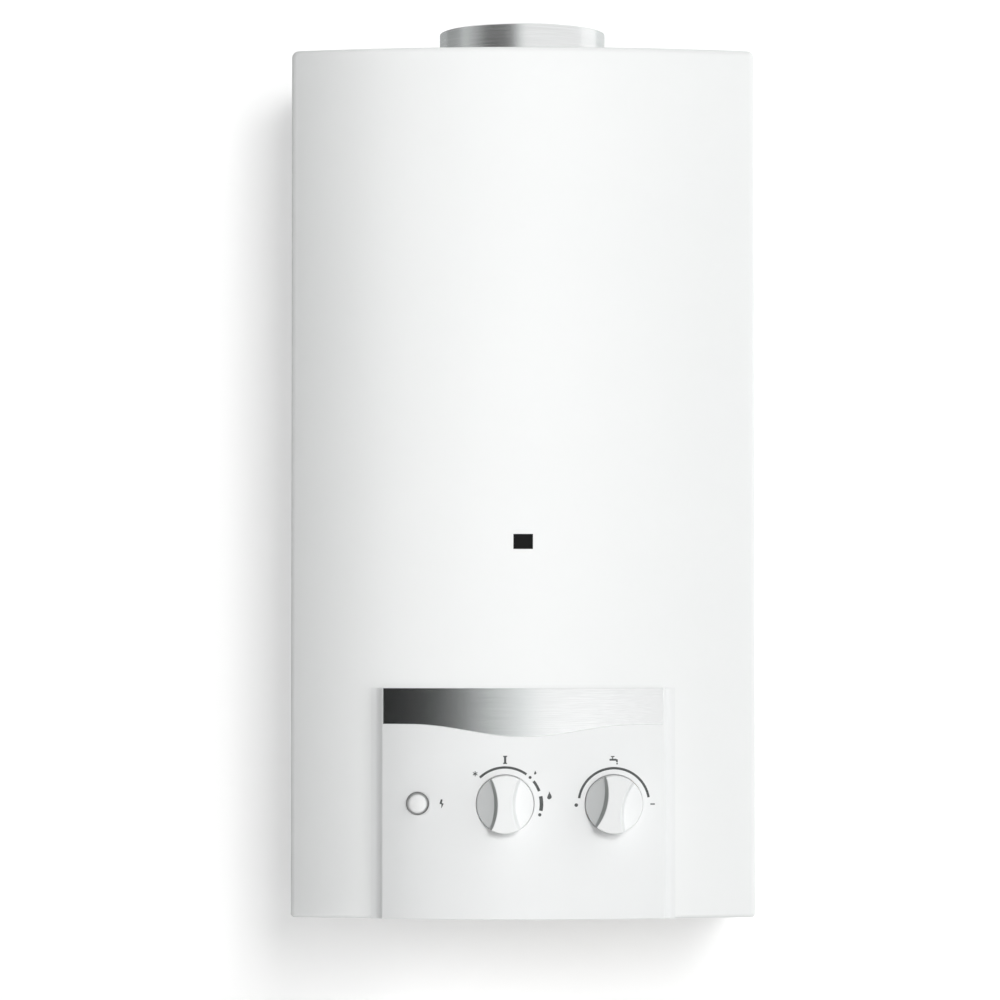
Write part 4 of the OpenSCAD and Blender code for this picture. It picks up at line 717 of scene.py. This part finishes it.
plateLow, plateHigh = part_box("back_plate")
plate = {
    **inMm(sheet=1, flange=18, fold=2.2, foot=1.1, step=1.5, coarse=3, holeR=4.5, holeX=110, beadDepth=3.2,
           beadHalf=7.5, tabWide=9.7, tabThick=0.98, tabStep=0.6),
    "half": plateHigh.x, "low": plateLow.z, "high": plateHigh.z, "holeRings": (2, 6), "sideCols": 6,
    "tabReach": -plateLow.y, "tabHole": (149 * mm, -18 * mm, 2.1 * mm), "tabRings": (2, 5),
}
# ends of the beads in mm: a frame with two uprights below, a frame above, and a bar between the wall holes
beads = np.array([
    (-108, -455, 108, -455), (108, -455, 108, -250), (108, -250, -108, -250), (-108, -250, -108, -455),
    (-42, -425, -42, -280), (42, -425, 42, -280),
    (-108, -175, 108, -175), (108, -175, 108, -45), (108, -45, -108, -45), (-108, -45, -108, -175),
    (-62, -2, 62, -2),
]) * mm


def beadDepth(x, z):
    # each bead is as deep as an eased step of the distance from its line, and the deepest one counts
    ax, az, bx, bz = beads.T[:, :, None, None]
    spanX, spanZ = bx - ax, bz - az
    along = np.clip(((x - ax) * spanX + (z - az) * spanZ) / (spanX ** 2 + spanZ ** 2), 0, 1)
    away = np.hypot(x - ax - along * spanX, z - az - along * spanZ)
    return plate["beadDepth"] * easedStep(1 - away / plate["beadHalf"]).max(0)


def makeBackPlate():
    half, fold, step, low = pick(plate, "half fold step low")
    holes = [(side * plate["holeX"], 0.0, plate["holeR"], *plate["holeRings"]) for side in (-1, 1)]
    flatX = holeLines(holes, 0, step, [fold - half, half - fold], plate["coarse"])
    zLines = holeLines(holes, 1, step, [low, plate["high"]], plate["coarse"])
    # the plan runs back along one folded side, round the fold, across the back and out along the other side
    a = quarter(mesher["foldSteps"])[:-1]
    sideY = np.linspace(-plate["flange"], -fold, plate["sideCols"], endpoint=False)
    leftX = join([0 * sideY - half, fold - half - fold * np.cos(a)])
    leftY = join([sideY, fold * np.sin(a) - fold])
    px = join([leftX, flatX, -leftX[::-1]])
    py = join([leftY, 0 * flatX, leftY[::-1]])
    x, z = np.meshgrid(px, zLines)
    flat = np.zeros(x.shape, bool)
    flat[:, len(leftX):len(leftX) + len(flatX)] = True
    x, z, faces = punch(x, z, flat, holes, step)
    z = np.where(flat, z, np.maximum(z, low + plate["foot"]))
    return thickSheet(pile(x, py - beadDepth(x, z), z), faces, plate["sheet"], (0, 1, 0))


def makeTab(side):
    # a flat strip on the casing's lip with a round hole for the screw
    x, y, r = plate["tabHole"]
    holes, step, sheet = [(side * x, y, r, *plate["tabRings"])], plate["tabStep"], plate["sheet"]
    edge = plate["half"] - sheet
    xLines = holeLines(holes, 0, step, [side * edge, side * (edge - plate["tabWide"])], plate["coarse"])
    yLines = holeLines(holes, 1, step, [-plate["tabReach"], -sheet], plate["coarse"])
    x, y = np.meshgrid(xLines, yLines)
    x, y, faces = punch(x, y, np.ones(x.shape, bool), holes, step)
    top = pile(x, y, plate["low"] + 2 * sheet)
    return closeSheet(top, top - [0, 0, plate["tabThick"]], faces)


makePiece("back_sheet", joinPatches([makeBackPlate(), makeTab(-1), makeTab(1)]), "galvanised", "back_plate")
print("back plate made")

# Printed scales round the knobs, as thin raised ink on the panel's face

ink = {
    **inMm(lift=0.05, sink=0.03),
    "arcStep": 2.5, "dotSegments": 16, "flameRows": 13,
    # the marks in mm and in degrees clockwise from the top
    # arcs: dial, radius, width, first and last angle
    "arcs": [(gasX, 24, 1.6, -44, 36), (gasX, 24, 1.8, 51.5, 69.6), (gasX, 24, 2.4, 78, 101),
             (waterX, 23.4, 1.6, -81, 80)],
    # dots: dial, angle, distance, radius
    "dots": [(gasX, 43.5, 24, 1.0), (gasX, 107.5, 24, 1.1), (waterX, -92, 25, 1.2)],
    # bars: dial, angle, distance, length, width, lean
    "bars": [(gasX, 0, 29, 5.4, 1.5, 0), (gasX, 0, 31.3, 0.8, 2.6, 0), (gasX, 0, 26.7, 0.8, 2.6, 0),
             (gasX, -45, 28, 3.4, 0.6, 0), (gasX, -45, 28, 3.4, 0.6, 60), (gasX, -45, 28, 3.4, 0.6, 120),
             (waterX, 91, 25.7, 3.0, 0.9, 90)],
    # flames: dial, angle, distance, height, and their width, lean, taper and sway as shares of the height
    "flames": [(gasX, 79, 29.5, 5.4), (gasX, 43.6, 28.6, 2.8)], "flameForm": (0.34, 0.65, 0.65, 0.08),
    # a tap as a bar with a handle, a bent spout and a drop: aside, up, length, width, lean
    "tapAt": 28.4,
    "tap": [(-0.6, 0.6, 4.6, 1.3, 90), (-0.8, 1.9, 1.8, 0.7, 0), (-0.8, 2.7, 2.4, 0.7, 90),
            (2.0, -0.1, 1.9, 1.1, 0)],
    "drop": (2.1, -2.0, 0.55),
    # a lightning stroke as two slanting wedges: aside, up, length, width, lean, taper
    "sparkAt": 16, "spark": [(-0.3, 1.3, 3.2, 1.2, 14, 1.2), (0.3, -1.3, 3.2, 1.4, 14, 0.2)],
}


def inkPatch(x, z, wrap=False):
    # a grid of points on the panel's face, lifted by the ink's thickness and closed underneath
    top = pile(x, panelFront(x) - ink["lift"], z)
    return closeSheet(top, top + [0, ink["lift"] + ink["sink"], 0], gridFaces(*x.shape, wrap=wrap))


def inkArc(x, r, width, first, last):
    turn = np.radians(np.linspace(first, last, max(int(abs(last - first) / ink["arcStep"]), 3)))
    radius = np.array([[r - width / 2], [r + width / 2]]) * mm
    return inkPatch(x + radius * np.sin(turn), knobZ + radius * np.cos(turn))


def inkBar(x, z, tall, width, lean, taper=1.0):
    # a short bar about a middle point, leaning clockwise, whose lower end may be narrower
    across = np.array([[-0.5, 0.5], [-0.5 * taper, 0.5 * taper]]) * width * mm
    along = np.array([[0.5, 0.5], [-0.5, -0.5]]) * tall * mm
    turn = radians(lean)
    return inkPatch(x + across * cos(turn) + along * sin(turn),
                    z - across * sin(turn) + along * cos(turn))


def inkDot(x, z, r):
    turn = roundTurn(ink["dotSegments"])
    radius = np.array([[0.0], [r]]) * mm
    return inkPatch(x + radius * np.sin(turn), z + radius * np.cos(turn), wrap=True)


def inkFlame(x, z, tall):
    # a drop with a pointed top: its half width follows a sine that leans downwards
    t, tall = np.linspace(0, 1, ink["flameRows"]), tall * mm
    wide, lean, taper, sway = ink["flameForm"]
    half = wide * tall * np.sin(pi * t ** lean) * (1 - taper * t)
    side = np.array([[-1], [1]])
    return inkPatch(x + side * half + sway * tall * np.sin(3 * t), z + tall * (t - 0.5) + 0 * side)


def atDial(x, turn, r):
    return x + r * mm * sin(radians(turn)), knobZ + r * mm * cos(radians(turn))


def makeScales():
    tapX, tapZ = atDial(waterX, 0, ink["tapAt"])
    aside, up, dropR = ink["drop"]
    return joinPatches([
        *(inkArc(*arc) for arc in ink["arcs"]),
        *(inkDot(*atDial(*dot[:3]), dot[3]) for dot in ink["dots"]),
        *(inkBar(*atDial(*bar[:3]), *bar[3:]) for bar in ink["bars"]),
        *(inkFlame(*atDial(*flame[:3]), flame[3]) for flame in ink["flames"]),
        *(inkBar(tapX + x * mm, tapZ + z * mm, *bar) for x, z, *bar in ink["tap"]),
        inkDot(tapX + aside * mm, tapZ + up * mm, dropR),
        *(inkBar(buttonX + (ink["sparkAt"] + x) * mm, knobZ + z * mm, *bar) for x, z, *bar in ink["spark"]),
    ])


makePiece("panel_scales", makeScales(), "print_ink")
print("scales made")

# Springs: wire wound round an axis, with a closed turn at each end

springs = {
    "button_coil": {
        "stands": "button_spring", "joint": "igniter_press", "keep": 0.662,
        "start": (buttonX, -207.025 * mm, knobZ), "end": (buttonX, -192.225 * mm, knobZ), "side": (1, 0, 0),
        "coilR": 4.6 * mm, "wireR": 0.5 * mm, "open": 5,
    },
    "plunger_coil": {
        "stands": "plunger_spring", "joint": "gas_knob_press", "keep": 0.775,
        "start": (gasX, -115.9 * mm, knobZ), "end": (gasX, -98.1 * mm, knobZ), "side": (1, 0, 0),
        "coilR": 5.8 * mm, "wireR": 0.6 * mm, "open": 4,
    },
    "disc_coil": {
        "stands": "gas_disc_spring", "joint": "valve_rod_slide", "keep": 0.869,
        "start": (-5.4 * mm, -106 * mm, knobZ - 26 * mm), "end": (-35.9 * mm, -106 * mm, knobZ - 26 * mm),
        "side": (0, 0, 1), "coilR": 8 * mm, "wireR": 0.6 * mm, "open": 6,
    },
}
winding = {"perTurn": 40, "sides": 12, "closedPitch": 2.06}


def makeSpring(spring):
    # the wire's middle turns round the axis and climbs by a wire's width in the end turns, evenly between
    start, end, side = (np.array(spring[key]) for key in ("start", "end", "side"))
    wire, coil, count = spring["wireR"], spring["coilR"], spring["open"] + 2
    length = np.linalg.norm(end - start)
    axis = (end - start) / length
    third = np.cross(axis, side)
    closed, last = winding["closedPitch"] * wire, length - 2 * wire
    turns = np.linspace(0, count, count * winding["perTurn"] + 1)
    climb = np.interp(turns, [0, 1, count - 1, count], [0, closed, last - closed, last]) + wire
    rate = np.gradient(climb, turns)[:, None] / (2 * pi)
    cosine, sine = np.cos(2 * pi * turns)[:, None], np.sin(2 * pi * turns)[:, None]
    radial = cosine * side + sine * third
    along = coil * (cosine * third - sine * side) + rate * axis
    along /= np.linalg.norm(along, axis=1, keepdims=True)
    middle = start + coil * radial + climb[:, None] * axis
    around = roundTurn(winding["sides"])[:, None]
    ring = np.cos(around) * radial[:, None] + np.sin(around) * np.cross(along, radial)[:, None]
    # each end is closed by one more row, drawn together on the wire's middle
    order = np.clip(np.arange(-1, len(turns) + 1), 0, len(turns) - 1)
    size = np.pad(np.full(len(turns), wire), 1)[:, None, None]
    points = middle[order, None] + size * ring[order]
    return points.reshape(-1, 3), gridFaces(len(order), len(around), wrap=True)


for name, spring in springs.items():
    coil = makePiece(name, makeSpring(spring), "spring_steel", spring["stands"], sharp=60)
    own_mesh(coil)
print("springs made")

# Brass connections with a pipe thread below a hexagon, and the nuts on the pipes

fitting = {
    **inMm(threadR=10.4775, pitch=1.814, depth=1.16, bore=7, hexTall=8, chamfer=0.9, bodyR=12, socketR=7.6,
           socketDeep=12, hotHexTop=30),
    "flats": 31 * cos(pi / 6) * mm, "segments": 96, "rowsPerPitch": 10,
}
nuts = {
    **inMm(tall=10, gap=0.1, valveY=-106, coldAside=18),
    "flats": 27 * cos(pi / 6) * mm,
}
fittingTurn = roundTurn(fitting["segments"])


def hexRows(flats, low, high):
    # the distance to a hexagon's sides, with corners along X, which are cut off by a chamfer at both ends
    wide = flats / 2 / np.cos(np.mod(fittingTurn, pi / 3) - pi / 6)
    tight = np.minimum(wide, flats / 2)
    return [(low, tight), (low + fitting["chamfer"], wide), (high - fitting["chamfer"], wide), (high, tight)]


def threadRows(low, high):
    # the groove's depth is a triangle wave along a helix, and fades out at both ends
    pitch, depth, full = fitting["pitch"], fitting["depth"], fitting["threadR"]
    z = np.arange(low, high, pitch / fitting["rowsPerPitch"])[:, None]
    wave = 1 - 2 * np.abs(np.mod(z / pitch + fittingTurn / (2 * pi), 1) - 0.5)
    fade = np.clip((high - z) / pitch, 0, 1)
    lead = full - depth + np.maximum(z - low, 0)
    return list(zip(z[:, 0], np.minimum(full - depth * wave * fade, lead)))


def turnRows(x, y, rows):
    # each row is a height and a radius for every direction round the axis
    z = np.array([row[0] for row in rows])[:, None]
    r = np.array([np.broadcast_to(row[1], len(fittingTurn)) for row in rows])
    points = pile(x + r * np.cos(fittingTurn), y + r * np.sin(fittingTurn), z + 0 * r)
    return points.reshape(-1, 3), gridFaces(len(rows), len(fittingTurn), wrap=True)


def makeConnection(node):
    # the hot one goes on above its hexagon as a round body with a socket for the pipe
    low, high = (corner.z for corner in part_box(node))
    hot = node == "hot_outlet"
    hexTop = high - fitting["hotHexTop"] if hot else high
    hexLow = hexTop - fitting["hexTall"]
    bore, bodyR, socketR, edge = pick(fitting, "bore bodyR socketR chamfer")
    rows = [(low, bore), *threadRows(low, hexLow), (hexLow, fitting["threadR"]),
            *hexRows(fitting["flats"], hexLow, hexTop)]
    if hot:
        seat = high - fitting["socketDeep"]
        rows += [(hexTop, bodyR), (high - edge, bodyR), (high, bodyR - edge), (high, socketR),
                 (seat, socketR), (seat, bore), (low, bore)]
    else:
        rows += [(hexTop, bore), (low, bore)]
    return turnRows(*middleOf(node)[:2], rows)


def makeNut(x, y, z, pipeR):
    bore, top = pipeR + nuts["gap"], z + nuts["tall"]
    return turnRows(x, y, [(z, bore), *hexRows(nuts["flats"], z, top), (top, bore), (z, bore)])


def makeNuts():
    # a nut at each pipe end: on the water block, the hot outlet, the gas valve and the manifold's boss
    riserLow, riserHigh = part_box("gas_riser")
    gasR, riserX = (riserHigh.x - riserLow.x) / 2, (riserHigh.x + riserLow.x) / 2
    pipeR = fitting["socketR"] - nuts["gap"]
    top = {node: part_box(node)[1].z for node in ("water_valve_body", "hot_outlet", "gas_valve_body")}
    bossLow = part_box("burner_manifold")[0].z
    return joinPatches([
        makeNut(waterX + nuts["coldAside"], nuts["valveY"], top["water_valve_body"], pipeR),
        makeNut(*middleOf("hot_outlet")[:2], top["hot_outlet"], pipeR),
        makeNut(riserX, nuts["valveY"], top["gas_valve_body"], gasR),
        makeNut(riserX, riserLow.y + gasR, bossLow - nuts["tall"], gasR),
    ])


for node in ("cold_inlet", "gas_inlet", "hot_outlet"):
    makePiece(node + "_thread", makeConnection(node), "brass", node, sharp=30)
makePiece("pipe_nuts", makeNuts(), "brass", "union_nuts", sharp=25)
print("connections and nuts made")

# Moulded diaphragm: a flat disc with a rolled fold round the rod's plate

fold = {"middle": 25 * mm, "half": 1.8 * mm, "rise": 1.0 * mm, "rings": 17, "coarse": 4 * mm, "segments": 96}


def makeDiaphragm():
    # the fold is half a cosine wave of the distance from its middle circle
    low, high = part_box("diaphragm")
    rings = fold["middle"] + np.linspace(-1, 1, fold["rings"]) * fold["half"]
    r = spread([0, (high.y - low.y) / 2, *rings], fold["coarse"])
    away = np.clip((r - fold["middle"]) / fold["half"], -1, 1)
    lift = fold["rise"] * 0.5 * (1 + np.cos(pi * away))
    face, back = pile(r, -lift), pile(r, high.x - low.x - lift)
    centre = (low.x, *middleOf("diaphragm")[1:])
    return lathe(join([face, back[::-1]]), centre, (1, 0, 0), (0, 1, 0), fold["segments"])


makePiece("diaphragm_moulding", makeDiaphragm(), "black_rubber", "diaphragm")
print("diaphragm made")

# Stage: a one-sided wall and floor, cards that only mirrors see, a key lamp behind gels, and the camera

studio = {
    "wallPale": 0.8, "wallSeen": 0.62, "wallGlow": 0.46, "wallInset": 0.002, "wide": 6.0, "floorDrop": 0.3,
    "worldFrom": (1.0, 0.0, -0.25), "worldEdge": (-0.15, 0.35), "worldRange": (0.04, 1.15), "worldSeen": 0.97,
    "tint": (0.97, 1.0, 0.995, 1.0),
    "keyPower": 222.0, "keyPlace": (0.95, -6.2, 0.65), "keyAimY": -0.2, "keySize": (1.2, 1.4),
    "keyTint": (1.0, 0.995, 0.99),
}
# tones across each card, from left to right
gels = {
    "casing_gel": {
        "left": -0.145, "right": 0.17, "y": -0.262, "low": -0.05, "high": casing["tall"] + 0.03,
        "tones": [(0.0, 0.45), (0.03, 0.52), (0.12, 0.72), (0.2, 0.9), (0.26, 0.97), (0.4, 1.0),
                  (0.5, 0.97), (0.66, 0.86), (0.88, 0.72), (1.0, 0.68)],
    },
    "panel_gel": {
        "left": -0.095, "right": 0.0, "y": -0.258, "low": -0.04, "high": panel["high"] - panel["low"] + 0.008,
        "tones": [(0.0, 0.66), (0.15, 0.74), (0.3, 0.84), (0.5, 0.93), (0.8, 0.97), (1.0, 1.0)],
    },
}
# degrees round from the camera, distance and glow: one sheet from beside the casing to beside the camera,
# and a card behind the collar
screens = {
    "screen": {
        "middleY": -0.2, "low": -0.84, "high": 0.95,
        "stops": [(-136, 0.235, 0.35), (-95, 2.0, 0.6), (-85, 2.4, 0.56), (-66, 2.4, 0.3), (-52, 2.4, 0.06),
                  (-38.7, 2.4, 0.004), (-26, 2.4, 0.012), (-19, 2.4, 0.05), (-13.4, 2.4, 0.17),
                  (-6, 2.4, 0.58), (-1.4, 2.4, 0.78), (2.4, 2.4, 0.97)],
    },
    "collar_card": {
        "middleY": -0.113, "low": 0.04, "high": 0.2,
        "stops": [(-115, 0.239, 0.5), (-149.3, 0.1175, 0.42), (149.3, 0.1175, 0.8), (115, 0.239, 0.88)],
    },
}
# the picture's size, focal length, horizon and middle are in pixels, the rest in metres
photo = {
    "size": 1000, "focal": 4190.0, "horizon": 641.0, "middle": 523.0,
    "away": 2.8, "eyeHeight": 0.184, "clipEnd": 50,
}


def seenRays(tree):
    # one for rays from the camera, from a mirror and through glass, nought for soft light
    path = addNode(tree, "LightPath").outputs
    first = addNode(tree, "Math", path["Is Camera Ray"], path["Is Glossy Ray"], operation="MAXIMUM")
    both = addNode(tree, "Math", first.outputs[0], path["Is Transmission Ray"], operation="MAXIMUM")
    return both.outputs[0]


def mixShaders(tree, share, first, second):
    return addNode(tree, "MixShader", share, first.outputs[0], second.outputs[0])


def emptyFinish(name):
    made = bpy.data.materials.new(name)
    made.use_nodes = True
    made.node_tree.nodes.clear()
    return made, made.node_tree


def backdropPaint():
    # pale paint that looks near white and keeps a soft shadow, and is clear from behind
    made, tree = emptyFinish("backdrop_paint")
    tones = pick(studio, "wallPale wallSeen")
    plain, shaded = (addNode(tree, "BsdfDiffuse", Color=(tone, tone, tone, 1)) for tone in tones)
    shine = addNode(tree, "Emission", Color=(1, 1, 1, 1), Strength=studio["wallGlow"])
    both = addNode(tree, "AddShader", shaded.outputs[0], shine.outputs[0])
    front = mixShaders(tree, seenRays(tree), plain, both)
    behind = addNode(tree, "NewGeometry").outputs["Backfacing"]
    sided = mixShaders(tree, behind, front, addNode(tree, "BsdfTransparent"))
    addNode(tree, "OutputMaterial", sided.outputs[0])
    return made


def stageSheet(name, points, faces, finish, hidden=()):
    mesh = bpy.data.meshes.new(name)
    mesh.from_pydata(points, [], faces)
    mesh.materials.append(finish)
    sheet = addObject(name, mesh)
    for ray in hidden:
        setattr(sheet, "visible_" + ray, False)
    return sheet


def makeScreen(name, screen):
    # a tall bent sheet that polished metal mirrors, whose glow is kept at its corners
    made, tree = emptyFinish(name + "_cloth")
    glow = addNode(tree, "Attribute", attribute_name="glow").outputs["Fac"]
    addNode(tree, "OutputMaterial", addNode(tree, "Emission", Color=studio["tint"], Strength=glow).outputs[0])
    turn, far, tone = np.array(screen["stops"]).T
    turn = np.radians(turn)
    x, y = far * np.sin(turn), screen["middleY"] - far * np.cos(turn)
    points = join([pile(x, y, screen[key]) for key in ("low", "high")])
    hidden = ("camera", "diffuse", "shadow")
    sheet = stageSheet(name, points.tolist(), gridFaces(2, len(turn)).tolist(), made, hidden)
    sheet.data.attributes.new("glow", "FLOAT", "POINT").data.foreach_set("value", np.tile(tone, 2))


def makeGel(name, gel):
    # a clear card whose tint deepens to the sides, and that only the key lamp's light passes
    made, tree = emptyFinish(name)
    left, right, y, low, high = pick(gel, "left right y low high")
    clear = addNode(tree, "BsdfTransparent")
    place = addNode(tree, "SeparateXYZ", addNode(tree, "TexCoord").outputs["Object"]).outputs["X"]
    share = addNode(tree, "MapRange", Value=place, From_Min=left, From_Max=right)
    tones = [(stop, (tone, tone, tone)) for stop, tone in gel["tones"]]
    rampColour(tree, share.outputs["Result"], clear.inputs["Color"], tones)
    addNode(tree, "OutputMaterial", clear.outputs[0])
    points = [(x, y, casing["low"] + z) for z in (low, high) for x in (left, right)]
    stageSheet(name, points, [(0, 1, 3, 2)], made, ("camera", "diffuse", "glossy", "transmission"))


def makeWorld():
    # soft light from the right half, fading to the left, and plain white where it is looked at
    world = bpy.data.worlds.new("studio")
    bpy.context.scene.world = world
    world.use_nodes = True
    tree = world.node_tree
    tree.nodes.clear()
    soft = addNode(tree, "Background", Color=studio["tint"])
    place = addNode(tree, "TexCoord").outputs["Generated"]
    toward = addNode(tree, "VectorMath", place, studio["worldFrom"], operation="DOT_PRODUCT").outputs["Value"]
    rampValue(tree, toward, soft.inputs["Strength"], *studio["worldRange"], *studio["worldEdge"])
    seen = addNode(tree, "Background", Color=(1, 1, 1, 1), Strength=studio["worldSeen"])
    addNode(tree, "OutputWorld", mixShaders(tree, seenRays(tree), soft, seen).outputs[0])


def makeKey():
    lamp = bpy.data.lights.new("key", "AREA")
    lamp.energy = studio["keyPower"]
    lamp.color = studio["keyTint"]
    lamp.shape = "RECTANGLE"
    lamp.size, lamp.size_y = studio["keySize"]
    key = addObject("key", lamp)
    key.location = studio["keyPlace"]
    aim = Vector((0, studio["keyAimY"], casing["low"] + casing["tall"] / 2)) - key.location
    key.rotation_euler = aim.to_track_quat("-Z", "Y").to_euler()
    key.visible_glossy = False


def makeStage():
    # the wall is open behind the heater, inside the back plate's edges, so that it doesn't light the plate
    wide, inset, floorZ = studio["wide"], studio["wallInset"], casing["low"] - studio["floorDrop"]
    x, low, high = plate["half"] - inset, plate["low"] + inset, plate["high"] - inset
    paint = backdropPaint()
    wall = [(-wide, 0, floorZ), (wide, 0, floorZ), (wide, 0, wide), (-wide, 0, wide),
            (-x, 0, low), (x, 0, low), (x, 0, high), (-x, 0, high)]
    stageSheet("backdrop", wall, [(0, 1, 5, 4), (1, 2, 6, 5), (2, 3, 7, 6), (3, 0, 4, 7)], paint)
    corners = [(-wide, -wide), (wide, -wide), (wide, wide), (-wide, wide)]
    stageSheet("floor", [(*corner, floorZ) for corner in corners], [(0, 1, 2, 3)], paint)
    for name, screen in screens.items():
        makeScreen(name, screen)
    for name, gel in gels.items():
        makeGel(name, gel)
    makeWorld()
    makeKey()


def makeCamera():
    # the eye stands level with the horizon's pixel row and looks up so far that this row falls right
    lens = bpy.data.cameras.new("camera")
    lens.lens = photo["focal"] / photo["size"] * lens.sensor_width
    lens.clip_end = photo["clipEnd"]
    eye = addObject("camera", lens)
    aside, rise = (photo[key] - photo["size"] / 2 for key in ("middle", "horizon"))
    eyeY = float(caseFront(casing["half"])) - photo["away"]
    eye.location = (-aside / photo["focal"] * photo["away"], eyeY, casing["low"] + photo["eyeHeight"])
    eye.rotation_euler = (pi / 2 + atan(rise / photo["focal"]), 0, 0)
    bpy.context.scene.camera = eye


makeStage()
makeCamera()
bpy.context.scene.view_settings.view_transform = "Standard"
print("stage and camera made")
